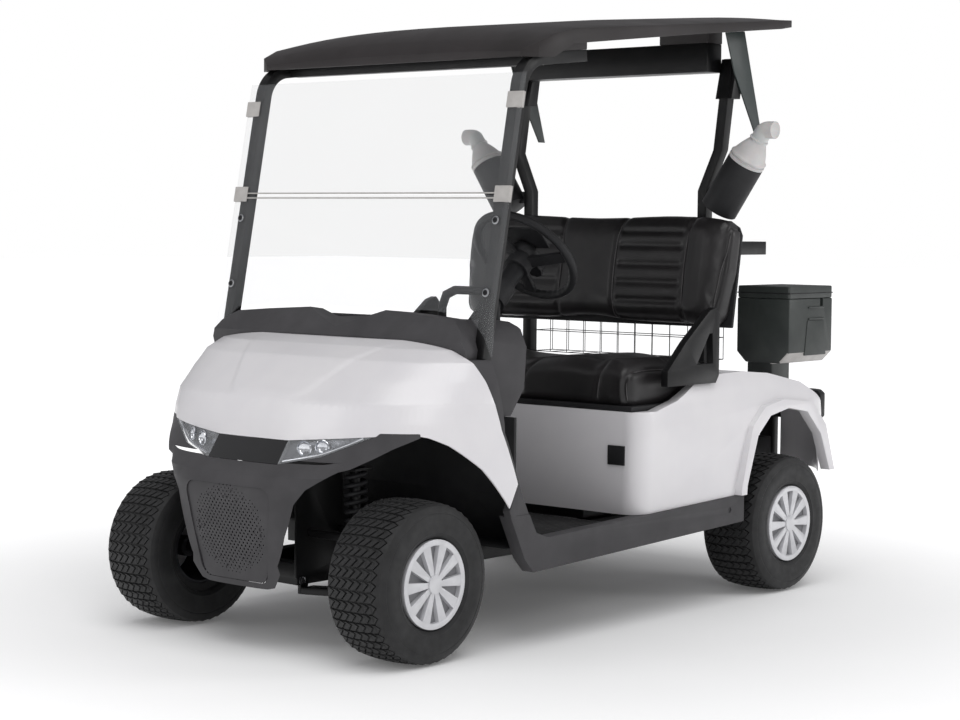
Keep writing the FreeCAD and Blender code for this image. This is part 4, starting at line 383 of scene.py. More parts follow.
# thermoplastic olefin bumper moulding: charcoal, fine leather grain
charcoalSkin = newFinish("charcoal_grained_olefin", ("3E3D3F", "474648"), (0.5, 0.6), 150, (3.5, 0.07), True,
                         specular=0.28)
# gloss black acrylic cap: polished
glossBlack = newFinish("gloss_black_acrylic", ("08080A", "0E0E10"), (0.06, 0.12), 80, (40, 0.01),
                       coat=0.8, coatRoughness=0.03)
# soft polyurethane over a rigid core: dull black
softBlack = newFinish("soft_polyurethane", ("141416", "1D1D1F"), (0.5, 0.62), 60, (3.5, 0.09), True,
                      specular=0.35)
# cast acrylic sheet: nearly invisible, with polished edges
clearSheet = newFinish("cast_acrylic_sheet", ("A9ABAD", "B2B4B6"), (0.02, 0.05), 400, (300, 0.004),
                       alpha=0.08, ior=1.49, specular=0.25)
# light grey acetal clip
greyAcetal = newFinish("light_grey_acetal", ("A9A6A3", "B5B2AF"), (0.42, 0.52), 40, (4, 0.04))
# vacuum-formed ABS roof: warm dark grey, fine haircell grain
roofSkin = newFinish("haircell_abs", ("252222", "302C2D"), (0.44, 0.54), 320, (4, 0.06), True, specular=0.3)
# coated steel plate: dark green-grey satin
platePaint = newFinish("green_grey_satin_paint", ("2B3332", "333B3A"), (0.34, 0.44), 120, (6, 0.03))
# blow-moulded polyethylene: milky, lets some light in
milkyPoly = newFinish("milky_polyethylene", ("BDBBBA", "CAC8C7"), (0.36, 0.46), 70, (6, 0.03),
                      milk=0.12, milkDepth=0.012)
# red acrylic lens
redLens = newFinish("red_acrylic_lens", ("6E0A0C", "8A1013"), (0.08, 0.14), 30, (6, 0.05),
                    coat=1.0, coatRoughness=0.03)
# rotomoulded polyethylene cooler: dark green-grey, lightly pebbled
coolerShell = newFinish("rotomoulded_polyethylene", ("2C302F", "383C3A"), (0.4, 0.5), 110, (4, 0.07), True,
                        specular=0.45)
# vulcanised tyre rubber: carbon black with a dull bloom
tyreRubber = newFinish("vulcanised_rubber", ("151516", "202021"), (0.52, 0.68), 60, (4, 0.12),
                       specular=0.42, sheen=0.05, sheenRoughness=0.5)
# silver lacquer on a moulded wheel cover: fine flake
silverLacquer = newFinish("silver_flake_lacquer", ("C9C9CC", "D6D6D9"), (0.3, 0.38), 50, (4, 0.015),
                          metal=0.35, coat=0.6, coatRoughness=0.12)
# the same moulding left grey in its recesses
greyRecess = newFinish("grey_moulded_recess", ("737376", "7F7F82"), (0.44, 0.54), 40, (4, 0.03))
# bare cast iron under a thin dark oil film
darkIron = newFinish("oiled_cast_iron", ("232326", "2F2F33"), (0.42, 0.58), 45, (5, 0.15), metal=0.6)
# zinc-plated steel fasteners
zincSteel = newFinish("zinc_plated_steel", ("9C9DA0", "B1B2B5"), (0.26, 0.36), 20, (4, 0.02), metal=1.0)
# calendered marine vinyl over foam: black with a soft pebble grain
blackVinyl = newFinish("calendered_marine_vinyl", ("1A191A", "242223"), (0.34, 0.46), 140, (3.5, 0.07), True,
                       specular=0.45)
# extruded welt cord round the seat panels; its mid grey is a painted highlight, standing in for the sheen
# along the seams
weltPaintedHighlight = newFinish("welt_painted_highlight", ("3A3839", "474546"), (0.34, 0.44), 30, (4, 0.03))
# ribbed nitrile mat
matRubber = newFinish("ribbed_nitrile_rubber", ("131314", "1B1B1C"), (0.56, 0.7), 60, (4, 0.1))
# vacuum-metallised lamp bowl
brightBowl = newFinish("metallised_reflector", ("C8CACF", "E0E2E6"), (0.06, 0.14), 30, (14, 0.25), metal=1.0)
# lamp housing behind the lens: dark chromed plastic
lampTrim = newFinish("dark_chromed_plastic", ("55565C", "8E9096"), (0.16, 0.28), 24, (9, 0.6), metal=0.9)
# polycarbonate lamp lens
clearLens = newFinish("clear_polycarbonate", ("EEF1F4", "F6F8FA"), (0.02, 0.05), 60, (60, 0.01),
                      alpha=0.16, ior=1.58)

say("materials")

# Camera at the photograph's angle, floor and soft lights

view = {"place": (5.1287, 4.3288, 1.1921), "yaw": 220.7012, "pitch": -3.7231, "roll": 0.5042,
        "lens": 80.313, "sensor": 36.0}
yaw, pitch, roll = (math.radians(view[key]) for key in ("yaw", "pitch", "roll"))
sight = Vector((math.cos(yaw) * math.cos(pitch), math.sin(yaw) * math.cos(pitch), math.sin(pitch)))
level = sight.cross(Vector((0, 0, 1))).normalized()
above = level.cross(sight)
right = level * math.cos(roll) + above * math.sin(roll)
upward = above * math.cos(roll) - level * math.sin(roll)
camera = linked("camera", bpy.data.cameras.new("camera"))
camera.data.lens = view["lens"]
camera.data.sensor_width = view["sensor"]
turned = Matrix((right, upward, -sight)).transposed().to_4x4()
camera.matrix_world = Matrix.Translation(view["place"]) @ turned
scene.camera = camera
scene.view_settings.view_transform = "Standard"

studio = {"floorSize": 90.0, "backdrop": 1.0, "worldLight": 0.34, "sunLight": 1.25, "sunSpread": 50,
          "sunTurn": (-14, 12, 0), "floorGlow": (0.06, 0.5), "glowSpan": (0.6, 3.2), "aim": (0, 0, 0.8),
          "softboxes": [("keySoftbox", (4.5, 5.5, 4.2), 3.0, 66), ("sideSoftbox", (-3.5, 5.0, 2.6), 2.0, 52),
                        ("frontSoftbox", (6.0, -2.5, 2.8), 2.2, 34)]}
floor = added("floor", bpy.ops.mesh.primitive_plane_add, size=studio["floorSize"])
paper = newFinish("white_studio_floor", ("F2F2F2", "F4F4F4"), (0.6, 0.7), 900, (30, 0.01),
                  specular=0.1, glow=linear("FFFFFF"))
# the paper glows a little away from the cart, so that no horizon shows and the shadow stays dark
spot = addNode(paper, "TexCoord").outputs["Object"]
reach = addNode(paper, "VectorMath", {0: spot}, operation="LENGTH").outputs["Value"]
glow = ranged(paper, reach, *studio["glowSpan"], *studio["floorGlow"], interpolation_type="SMOOTHSTEP")
paper.node_tree.links.new(glow, paper.node_tree.nodes["Principled BSDF"].inputs["Emission Strength"])
floor.data.materials.append(paper)
floor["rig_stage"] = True
world = bpy.data.worlds.new("studioAir")
scene.world = world
world.use_nodes = True
backdrop = world.node_tree.nodes["Background"]
backdrop.inputs["Color"].default_value = linear("FFFFFF")
backdrop.inputs["Strength"].default_value = studio["backdrop"]
# the backdrop is white to the eye and dimmer as a light
light = addNode(world, "Background", {"Color": linear("FCFCFF"), "Strength": studio["worldLight"]})
seen = addNode(world, "LightPath").outputs["Is Camera Ray"]
blend = addNode(world, "MixShader", {0: seen, 1: light.outputs[0], 2: backdrop.outputs[0]})
world.node_tree.links.new(blend.outputs[0], world.node_tree.nodes["World Output"].inputs["Surface"])
sun = linked("softSun", bpy.data.lights.new("softSun", "SUN"))
sun.data.energy = studio["sunLight"]
sun.data.angle = math.radians(studio["sunSpread"])
sun.rotation_euler = [math.radians(turn) for turn in studio["sunTurn"]]
for name, place, size, power in studio["softboxes"]:
    softbox = linked(name, bpy.data.lights.new(name, "AREA"))
    softbox.data.size = size
    softbox.data.energy = power
    softbox.location = place
    softbox.rotation_euler = (Vector(studio["aim"]) - Vector(place)).to_track_quat("-Z", "Y").to_euler()

say("camera, floor and lights")

# Rigid pieces that keep their solid's form: node, finish, edge radius in mm

plainPieces = [
    ("rear_body", pearlPaint, 1.2), ("front_fascia", charcoalSkin, 0), ("nose_panel", glossBlack, 0),
    ("rockers", charcoalSkin, 2.5), ("dash", charcoalSkin, 4), ("roof", roofSkin, 2),
    ("front_struts", powderBlack, 3), ("rear_pillars", powderBlack, 3), ("rear_beam", powderBlack, 3),
    ("roof_fins", platePaint, 1.2), ("bottle_holders", mouldedBlack, 1.2), ("bag_rack", powderBlack, 2),
    ("bag_tray", mouldedBlack, 2), ("rear_bumper", mouldedBlack, 2), ("cooler_box", coolerShell, 5),
    ("cooler_lid", coolerShell, 4), ("chassis_frame", powderBlack, 2), ("floor_pan", mouldedBlack, 2),
    ("battery_pack", mouldedBlack, 4), ("seat_pan", mouldedBlack, 2),
    ("seat_back_shell", mouldedBlack, 3), ("hip_restraints", powderBlack, 7),
    ("rear_axle", darkIron, 1.5), ("leaf_springs", powderBlack, 1.5), ("front_arms", powderBlack, 2),
    ("dampers", powderBlack, 0.8), ("knuckle_left", darkIron, 1.5), ("knuckle_right", darkIron, 1.5),
    ("pedals", darkIron, 2), ("steering_column", mouldedBlack, 1), ("grab_handle", softBlack, 0),
    ("windshield", clearSheet, 0.8), ("windshield_clips", greyAcetal, 1),
    ("charge_port", mouldedBlack, 1), ("tail_lamps", redLens, 1.5),
]
plainNames = {"rear_body": "rearBodyShell", "front_fascia": "lowerNose", "nose_panel": "noseCentre",
              "rockers": "sillsAndFlanks", "dash": "dashMoulding", "roof": "roofShell",
              "dampers": "frontDampers", "pedals": "footPedals", "windshield": "windshieldPanes"}
plainAngles = {"rear_body": 34, "front_fascia": 28, "nose_panel": 34, "rockers": 34, "roof": 34,
               "grab_handle": 50}
for node, finish, edge in plainPieces:
    flat = meshing["flat"] if edge else meshing["untouched"]
    piece = copyOf(node, plainNames.get(node, titled(node)), edge * mm, flat)
    dress(piece, finish, node, plainAngles.get(node, 40))
say("plain pieces")

# Hood: its middle panel stands a little proud inside a U-shaped crease

crease = fromMm({"tip": 1030, "shoulder": 990, "half": 166, "corner": 45, "rise": 4.5, "width": 20,
                 "fade": (770, 900)}) | {"splay": 0.62}


def besideCrease(x, y):
    # distance from the crease in plan, less than zero inside it
    ahead = x - crease["tip"] + crease["corner"]
    spread = crease["splay"] * (crease["shoulder"] - x)
    aside = (abs(y) - crease["half"] - spread) / math.hypot(1, crease["splay"]) + crease["corner"]
    return math.hypot(max(ahead, 0), max(aside, 0)) + min(max(ahead, aside), 0) - crease["corner"]


hoodShell = copyOf("hood", "hoodShell", flat=meshing["untouched"])
modify(hoodShell, "SUBSURF", subdivision_type="SIMPLE", levels=2, render_levels=2)
for corner, normal in cornersAndNormals(hoodShell):
    share = shareOf(-besideCrease(corner.co.x, corner.co.y), 0, crease["width"])
    fade = shareOf(corner.co.x, *crease["fade"])
    corner.co += normal * crease["rise"] * share * share * (3 - 2 * share) * fade
dress(hoodShell, pearlPaint, "hood", smooth=30)
say("hood")

# Tyres: rows of sawtooth ribs between smooth shoulders

tyre = fromMm({"radius": 222, "treadHalf": 76, "crownDrop": 5.5, "groove": 5.6, "gap": 2.1, "lip": 2.5,
               "sawHeight": 9.4, "margin": 1, "wall": 0.5, "left": 0.2, "bore": (104, 78)})
# how far down the tread, its middle lines and its faces reach, in groove depths
tyre |= {"blocksAround": 46, "rows": 6, "sawLean": 0.22, "treadReach": 2, "lineReach": 1.5, "faceReach": 1.6,
         "faceTilt": 0.45, "sameStep": 0.1}
# sidewall and bead, as (radius, y) in mm from the shoulder inwards
sidewall = [(211.0, 93.0), (204.5, 97.0), (197.0, 99.8), (192.0, 101.0), (190.5, 100.2), (186.0, 102.0),
            (172.0, 102.9), (156.0, 101.6), (143.0, 99.4), (138.5, 99.6), (135.0, 97.0), (128.5, 94.5),
            (125.0, 90.0), (124.0, 84.0)]


def crownAt(y):
    return tyre["radius"] - tyre["crownDrop"] * (y / tyre["treadHalf"]) ** 2


def makeTyre():
    edge, groove = tyre["treadHalf"], tyre["groove"]
    rowWidth = 2 * edge / tyre["rows"]
    tread = [-edge + rowWidth * row for row in range(tyre["rows"] + 1)]
    lip = edge + tyre["lip"]
    outer = [(crownAt(lip), -lip)] + [(crownAt(y) - groove, y) for y in tread] + [(crownAt(lip), lip)]
    flank = fromMm(sidewall)
    bore, half = tyre["bore"]
    profile = [(radius, -y) for radius, y in reversed(flank)] + outer + flank + [(bore, half), (bore, -half)]
    steps = 2 * tyre["blocksAround"]
    ring = spun(profile, "tyreMaster", steps)
    stepAngle = 2 * math.pi / steps
    deepest = crownAt(lip) - tyre["treadReach"] * groove
    for corner in ring.data.vertices:
        radius = math.hypot(corner.co.x, corner.co.z)
        place = round(math.atan2(corner.co.z, corner.co.x) / stepAngle)
        odd = place % 2
        if radius > deepest and abs(corner.co.y) < lip + tyre["margin"]:
            corner.co.y += tyre["sawHeight"] * (1 if odd else -1)
            angle = (place + odd * tyre["sawLean"] * 2) * stepAngle
            corner.co.x = radius * math.cos(angle)
            corner.co.z = radius * math.sin(angle)

    def middleLine(line):
        # of each block, at the odd steps
        ends = [end.co for end in line.verts]
        turns = [math.atan2(end.z, end.x) for end in ends]
        radii = [math.hypot(end.x, end.z) for end in ends]
        sameStep = abs(turns[0] - turns[1]) < stepAngle * tyre["sameStep"]
        odd = round(turns[0] / stepAngle - tyre["sawLean"] * 2) % 2 == 1
        high = min(radii) > crownAt(edge) - tyre["lineReach"] * groove
        low = max(radii) < tyre["radius"] - groove / 2
        inside = max(abs(end.y) for end in ends) < edge + tyre["sawHeight"] + tyre["margin"] / 2
        return sameStep and odd and high and low and inside

    def blockFace(face):
        centre, normal = face.calc_center_median(), face.normal
        high = math.hypot(centre.x, centre.z) > crownAt(edge) - tyre["faceReach"] * groove
        outwards = normal.x * centre.x + normal.z * centre.z > 0
        inside = abs(centre.y) < edge + tyre["margin"]
        return outwards and high and inside and abs(normal.y) < tyre["faceTilt"]

    pick(ring, "EDGE", middleLine)
    bpy.ops.mesh.dissolve_edges(use_verts=False, use_face_split=False)
    closeMesh()
    pick(ring, "FACE", blockFace)
    bpy.ops.mesh.inset(thickness=tyre["gap"], depth=0.0, use_individual=True)
    bpy.ops.mesh.inset(thickness=tyre["wall"], depth=groove - tyre["left"], use_individual=True)
    closeMesh()
    return ring


wheelPlaces = ("front_left", "front_right", "rear_left", "rear_right")
master = makeTyre()
for place in wheelPlaces:
    node = "tyre_" + place
    low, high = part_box(node)
    rubber = twin(master, titled(node), Matrix.Translation((low + high) / 2))
    dress(rubber, tyreRubber, node, smooth=38)
bpy.data.objects.remove(master)
say("tyres")

# Wheel covers: ten silver spokes over grey recesses, dark steel behind

cover = fromMm({"recess": 5, "ringInside": 106, "edge": 1.4}) | {"backShare": 0.2, "facing": 0.7}
for wheelPlace in wheelPlaces:
    node = "wheel_" + wheelPlace
    low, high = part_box(node)
    centre = (low + high) / 2
    outward = 1 if centre.y > 0 else -1
    reach = (high.y - low.y) / 2
    piece = dress(copyOf(node, titled(node), cover["edge"]), silverLacquer, node)

    def inRecess(place, normal):
        depth = reach - (place.y - centre.y) * outward
        radius = math.hypot(place.x - centre.x, place.z - centre.z)
        facing = normal.y * outward > cover["facing"]
        return radius < cover["ringInside"] and depth > cover["recess"] and facing

    def behindCover(place, normal):
        return (place.y - centre.y) * outward < reach * cover["backShare"]

    paintFaces(piece, greyRecess, inRecess)
    paintFaces(piece, darkIron, behindCover)
say("wheel covers")

# Padded vinyl: rounded block, remeshed, blown up by cloth pressure, then channelled and piped

cloth = fromMm({"voxel": 9, "cap": 12, "shrink": 5, "seamSpacing": 4, "cordSpacing": 10})
cloth |= {"pressure": 4.0, "frames": 20, "cordLift": 0.7, "seamReach": 3}


def paddedBlock(half, radii, name):
    # a block about its own centre with rounded edges, an own radius along each axis
    box = slab([-side for side in half], half, name)
    openMesh(box, "EDGE", "SELECT")
    bpy.ops.mesh.subdivide(number_cuts=35)
    closeMesh()
    for corner in box.data.vertices:
        inner = Vector([max(-(h - r), min(h - r, c)) for c, h, r in zip(corner.co, half, radii)])
        out = Vector([(c - i) / r for c, i, r in zip(corner.co, inner, radii)])
        if out.length > 1e-6:
            out.normalize()
            corner.co = [i + o * r for i, o, r in zip(inner, out, radii)]
    return box


def blowUp(piece):
    # remesh, then cloth under pressure; no point moves further than the cap
    piece.data.remesh_voxel_size = cloth["voxel"]
    takeUp(piece)
    bpy.ops.object.voxel_remesh()
    before = [corner.co.copy() for corner in piece.data.vertices]
    sim = piece.modifiers.new("cloth", "CLOTH")
    sim.settings.use_pressure = True
    sim.settings.uniform_pressure_force = cloth["pressure"]
    sim.settings.effector_weights.gravity = 0.0
    sim.point_cache.frame_start = 1
    sim.point_cache.frame_end = cloth["frames"]
    for step in range(1, cloth["frames"] + 1):
        scene.frame_set(step)
    takeUp(piece)
    bpy.ops.object.modifier_apply(modifier=sim.name)
    scene.frame_set(1)
    for corner, start in zip(piece.data.vertices, before):
        move = corner.co - start
        if move.length > cloth["cap"]:
            corner.co = start + move.normalized() * cloth["cap"]
    modify(piece, "SUBSURF", levels=1, render_levels=1)


def onSurface(tree, points, lift):
    # guide points drawn onto the surface and lifted along its normal
    landed = [tree.find_nearest(point) for point in points]
    return [hit[0] + hit[1] * lift for hit in landed]


def betweenPoints(points, spacing):
    # more points on the straight runs between guide points
    dense = []
    for start, end in zip(points, points[1:]):
        count = max(1, round((end - start).length / spacing))
        dense += [start.lerp(end, step / count) for step in range(count)]
    return dense + [points[-1]]


def evened(points, passes):
    # takes the small wobbles out of a track and keeps its ends
    for turn in range(passes):
        inner = [(a + b * 2 + c) / 4 for a, b, c in zip(points, points[1:], points[2:])]
        points = [points[0]] + inner + [points[-1]]
    return points


def sinkSeams(piece, seams, depth, width):
    # pulls the skin in along the seam lines; seams and pleats are given as (depth, width)
    tree = surfaceOf(piece)
    track = []
    for seam in seams:
        guide = evened(betweenPoints(seam, cloth["seamSpacing"]), passes=14)
        track += onSurface(tree, guide, lift=0.0)
    near = KDTree(len(track))
    for index, point in enumerate(track):
        near.insert(point, index)
    near.balance()
    for corner, normal in cornersAndNormals(piece):
        distance = near.find(corner.co)[2]
        if distance < cloth["seamReach"] * width:
            corner.co -= normal * hump(distance, depth, 0, width)


def pipingOn(piece, seams, radius, name):
    tree = surfaceOf(piece)
    cords = []
    for number, seam in enumerate(seams):
        guide = evened(betweenPoints(seam, cloth["cordSpacing"]), passes=6)
        track = evened(onSurface(tree, guide, radius * cloth["cordLift"]), passes=12)
        cords.append(tubeAlong(track, radius, name + str(number), sides=2))
    return joinAll(cords, name)


def bothWays(*lines):
    # lines of points in mm on the left half, each followed by its mirror image
    found = []
    for line in lines:
        left = [Vector(point) for point in fromMm(line)]
        found += [left, [Vector((point.x, -point.y, point.z)) for point in left]]
    return found


# Seat bottom

# the crown, bolster and dip are humps across the seat, as (height, middle, width)
bottom = fromMm({"front": 46, "rear": -420, "half": 545, "base": 629, "top": 762, "radii": (46, 34, 36),
                 "crown": (17, 275, 120), "bolster": (16, 462, 46), "dip": (-2, 0, 120), "rearDrop": 8,
                 "rearSlack": 2, "piping": 1.9, "seam": (4.5, 8)})
middle = Vector(((bottom["front"] + bottom["rear"]) / 2, 0, (bottom["base"] + bottom["top"]) / 2))
half = Vector(((bottom["front"] - bottom["rear"]) / 2, bottom["half"], (bottom["top"] - bottom["base"]) / 2))
half -= Vector((1, 1, 1)) * cloth["shrink"]
seatBottom = paddedBlock(half, bottom["radii"], "seatBottom")
for corner in seatBottom.data.vertices:
    y = abs(corner.co.y)
    up = max(0.0, (corner.co.z + half.z) / (2 * half.z))
    corner.co.z += sum(hump(y, *bottom[key]) for key in ("crown", "bolster", "dip")) * up
    # the rear stands a little lower than the front
    ahead = (corner.co.x + half.x) / (2 * half.x)
    corner.co.z -= (1 - ahead) * bottom["rearDrop"] * up
seatBottom.data.transform(Matrix.Translation(middle))
blowUp(seatBottom)
for corner in seatBottom.data.vertices:
    corner.co.z = max(corner.co.z, bottom["base"])
    corner.co.x = max(corner.co.x, bottom["rear"] - bottom["rearSlack"])
# up the front and back over the top on both sides of the insert, then round the outer end
bottomSeams = bothWays([(52, 109, 664), (56, 114, 700), (40, 132, 742), (0, 153, 760), (-120, 172, 765),
                        (-300, 168, 762), (-420, 160, 750)],
                       [(52, 402, 662), (56, 405, 700), (40, 415, 742), (0, 427, 762), (-160, 436, 768),
                        (-420, 430, 752)],
                       [(38, 520, 660), (44, 516, 690), (34, 514, 724), (8, 516, 746), (-60, 520, 754),
                        (-240, 522, 752), (-390, 520, 744)])
sinkSeams(seatBottom, bottomSeams, *bottom["seam"])
dress(seatBottom, blackVinyl, "seat_cushion", smooth=60)
bottomPiping = pipingOn(seatBottom, bottomSeams, bottom["piping"], "seatBottomPiping")
# the piping's grey is a painted highlight along the seams
dress(bottomPiping, weltPaintedHighlight, "seat_cushion", stands=False)
say("seat bottom")

# Seat back, modelled upright about its own middle and then leant

# the lobe and bolster are humps across the seat, and the notch is one from below
back = fromMm({"foot": (-424.5, 0, 862), "height": 366, "half": 556, "depth": 96, "radii": (30, 42, 48),
               "ahead": 10, "lobe": (9, 300, 190), "notch": (14, 0, 120), "bolster": (9, 450, 52),
               "topRound": 18, "lowCut": 24, "pleatsFrom": 112, "pleatsTo": 386, "pleatFade": 20,
               "pleat": (7.5, 12), "pleatHeights": (1166, 1119, 1058, 1000, 941, 884), "seam": (5, 9),
               "piping": 1.9}) | {"lean": math.atan2(58, 362), "frontFacing": 0.2}
backFoot = Vector(back["foot"])
half = Vector((back["depth"] / 2, back["half"], back["height"] / 2)) - Vector((1, 1, 1)) * cloth["shrink"]
seatBack = paddedBlock(half, back["radii"], "seatBack")
for corner in seatBack.data.vertices:
    y = abs(corner.co.y)
    high = max(0.0, corner.co.z / half.z)
    low = max(0.0, -corner.co.z / half.z)
    corner.co.z += high * hump(y, *back["lobe"]) + low * hump(y, *back["notch"])
    # ends taper: the lower corners are cut in, the top ones rounded over
    taper = max(0.0, (y - back["pleatsTo"]) / (back["half"] - back["pleatsTo"]))
    corner.co.z -= high * back["topRound"] * taper ** 2
    corner.co.y -= math.copysign(1, corner.co.y) * back["lowCut"] * low * taper ** 2
    front = max(0.0, corner.co.x / half.x)
    corner.co.x += front * hump(y, *back["bolster"])
blowUp(seatBack)
# up the front on both sides of the pleats and over the top, then round the outer end
pleatSides = [[(0, y + bow, -190), (38.4, y + bow, -178), (54, y + 4, -120), (56, y - 2, 0), (54, y + 4, 120),
               (33.6, y + bow + 6, 176), (0, y + bow + 12, 190), (-38.4, y + bow + 12, 184)]
              for y, bow in ((110, 10), (388, 4))]
backSeams = bothWays(*pleatSides, [(14.4, 498, -168), (45.6, 506, -150), (48, 530, -60), (48, 540, 40),
                                   (43.2, 540, 120), (19.2, 538, 150), (-14.4, 540, 152), (-38.4, 542, 140)])
sinkSeams(seatBack, backSeams, *back["seam"])
depth, width = back["pleat"]
for corner, normal in cornersAndNormals(seatBack):
    y = abs(corner.co.y)
    inside = min(y - back["pleatsFrom"], back["pleatsTo"] - y) / back["pleatFade"]
    if inside > 0 and normal.x > back["frontFacing"]:
        height = corner.co.z + backFoot.z + back["height"] / 2
        groove = sum(hump(height, depth, pleat, width) for pleat in back["pleatHeights"])
        corner.co -= normal * groove * min(1.0, inside)
backPiping = pipingOn(seatBack, backSeams, back["piping"], "seatBackPiping")
leanBack = (Matrix.Translation(backFoot) @ Matrix.Rotation(-back["lean"], 4, "Y")
            @ Matrix.Translation((back["ahead"] - back["depth"] / 2, 0, back["height"] / 2)))
for piece in (seatBack, backPiping):
    piece.data.transform(leanBack)
dress(seatBack, blackVinyl, "seat_back", smooth=60)
# the piping's grey is a painted highlight along the seams
dress(backPiping, weltPaintedHighlight, "seat_back", stands=False)
say("seat back")

# Grille: a perforated panel laid on the solid's front face

# the outline is the left half, from the lower to the upper edge, as (y, z)
grille = fromMm({"outline": [(97, 199), (119.5, 208), (129, 229), (171, 436), (163.5, 457.6), (141, 466)],
                 "pitchY": 15, "pitchZ": 17.4, "middle": 343, "fieldY": 138, "fieldZ": 124, "hole": 3.5,
                 "thickness": 3.4, "faceX": 1160})
# bands of the field as (from, to, size of their holes)
grille |= {"cells": 36, "bands": ((0.0, 0.72, 1.0), (0.72, 0.88, 0.82), (0.88, 1.0, 0.62)),
           "cellShare": 0.53, "holeShare": 0.9}


def makeGrille():
    count = grille["cells"]
    panel = added("grillePanel", bpy.ops.mesh.primitive_grid_add, x_subdivisions=count,
                  y_subdivisions=count, size=count)
    for corner in panel.data.vertices:
        # the square cells stand on their corners, so the holes are staggered
        across = (corner.co.x - corner.co.y) / 2 * grille["pitchY"]
        upward = (corner.co.x + corner.co.y) / 2 * grille["pitchZ"] + grille["middle"]
        corner.co = (0, across, upward)

    def fieldShare(face):
        place = face.calc_center_median()
        return math.hypot(place.y / grille["fieldY"], (place.z - grille["middle"]) / grille["fieldZ"])

    for low, high, size in grille["bands"]:
        pick(panel, "FACE", lambda face: low <= fieldShare(face) < high)
        hole = grille["hole"] * size * grille["holeShare"]
        wall = grille["pitchY"] * grille["cellShare"] / 2 ** 0.5 - hole
        bpy.ops.mesh.inset(thickness=wall, use_individual=True)
        bpy.ops.mesh.delete(type="FACE")
        closeMesh()
    modify(panel, "SUBSURF", levels=1, render_levels=1)
    outline = grille["outline"] + [(-y, z) for y, z in reversed(grille["outline"])]
    for (y1, z1), (y2, z2) in zip(outline, outline[1:] + outline[:1]):
        openMesh(panel, "FACE", "SELECT")
        bpy.ops.mesh.bisect(plane_co=(0, y1, z1), plane_no=(0, z2 - z1, y1 - y2), clear_outer=True)
        closeMesh()
    tree = surfaceOf(nodes["grille"])
    for corner in panel.data.vertices:
        y, z = corner.co.yz
        place = fromAhead(tree, y, z) or tree.find_nearest(Vector((grille["faceX"], y, z)))[0]
        corner.co.x = place.x - grille["thickness"]
    modify(panel, "SOLIDIFY", thickness=grille["thickness"], offset=-1.0)
    return panel


dress(makeGrille(), charcoalSkin, "grille", smooth=30)
say("grille")

# Headlamps: clear cover, dark housing behind it, two bright bowls and a light bar along the lower edge

lamp = fromMm({"set": 14, "inner": 140, "tip": 400, "bowls": (206, 262), "bowlLift": 4, "bowlDepth": 11,
               "bowlSet": 13, "rim": 2, "pinhole": 0.1, "bar": 3.4, "barFrom": 152, "barTo": 372,
               "barLift": 5, "barSet": 6})
lamp |= {"swing": 62, "heights": (500, 690, 2), "bowlShare": 0.40, "bowlRound": 0.8, "barSteps": 14}
lampTree = surfaceOf(nodes["headlamps"])


def makeBowl(radius, depth, steps=6, waist=0.98, rimBack=0.6):
    inside = []
    for step in range(steps + 1):
        width = radius * math.sin(math.pi / 2 * step / steps) * waist + lamp["pinhole"]
        inside.append((width, depth * (step / steps) ** 2))
    outside = [(r + lamp["rim"], y - lamp["rim"] * rimBack) for r, y in reversed(inside)]
    return spun(inside + outside, "bowl", steps=28)


def facing(y):
    # the way the lens looks: straight ahead at its inner end, swung outwards at its tip
    share = shareOf(abs(y), lamp["inner"], lamp["tip"])
    angle = math.radians(lamp["swing"]) * share * (1 if y > 0 else -1)
    return Vector((math.cos(angle), math.sin(angle), 0))


def lensAt(y):
    # the lens's front face from its lower to its upper edge at one distance from the middle
    hits = [fromAhead(lampTree, y, height * mm) for height in range(*lamp["heights"])]
    return [hit for hit in hits if hit]


covers = copyOf("headlamps", "headlampCovers")
housings = copyOf("headlamps", "headlampHousings")
for corner in housings.data.vertices:
    corner.co -= facing(corner.co.y) * lamp["set"]
bowls = []
for side in (1, -1):
    for y in lamp["bowls"]:
        hits = lensAt(side * y)
        radius = (hits[-1].z - hits[0].z) * lamp["bowlShare"]
        middle = (hits[0] + hits[-1]) / 2 + Vector((0, 0, lamp["bowlLift"]))
        bowl = makeBowl(radius, min(lamp["bowlDepth"], radius * lamp["bowlRound"]))
        way = facing(side * y)
        bowl.data.transform(turnTo(way, middle - way * lamp["bowlSet"], "Y", "Z"))
        bowls.append(bowl)
    track = []
    for step in range(lamp["barSteps"] + 1):
        y = side * (lamp["barFrom"] + (lamp["barTo"] - lamp["barFrom"]) * step / lamp["barSteps"])
        hits = lensAt(y)
        if len(hits) > 2:
            track.append(hits[0] + Vector((0, 0, lamp["barLift"])) - facing(y) * lamp["barSet"])
    bowls.append(tubeAlong(evened(track, passes=3), lamp["bar"], "lightBar", sides=3))
dress(covers, clearLens, "headlamps")
dress(housings, lampTrim, "headlamps", stands=False)
dress(joinAll(bowls, "headlampBowls"), brightBowl, "headlamps", stands=False)
say("headlamps")

# Wire basket behind the seat back: U-shaped wires under a rim, with two long wires all round

basket = fromMm({"wire": 1.4, "rim": 3.2, "pitch": 72})
low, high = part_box("basket")
inset = Vector((1, 1, 1)) * basket["rim"]
low, high = low + inset, high - inset
count = round((high.y - low.y) / basket["pitch"])
bowLine = [(low.x, low.y, high.z), (low.x, low.y, low.z), (high.x, low.y, low.z), (high.x, low.y, high.z)]
bow = tubeAlong(bowLine, basket["wire"], "bow", sides=1, smooth=False)
modify(bow, "ARRAY", count=count + 1, use_relative_offset=False, use_constant_offset=True,
       constant_offset_displace=(0, (high.y - low.y) / count, 0))
wires = [bow]
for height, radius in ((high.z, basket["rim"]), ((low.z + high.z) / 2, basket["wire"]),
                       (low.z, basket["wire"])):
    loop = [(x, y, height) for x, y in ((low.x, low.y), (high.x, low.y), (high.x, high.y), (low.x, high.y))]
    wires.append(tubeAlong(loop, radius, "loop", sides=2, closed=True, smooth=False))
dress(joinAll(wires, "sweaterBasket"), powderBlack, "basket", smooth=50)
say("basket")

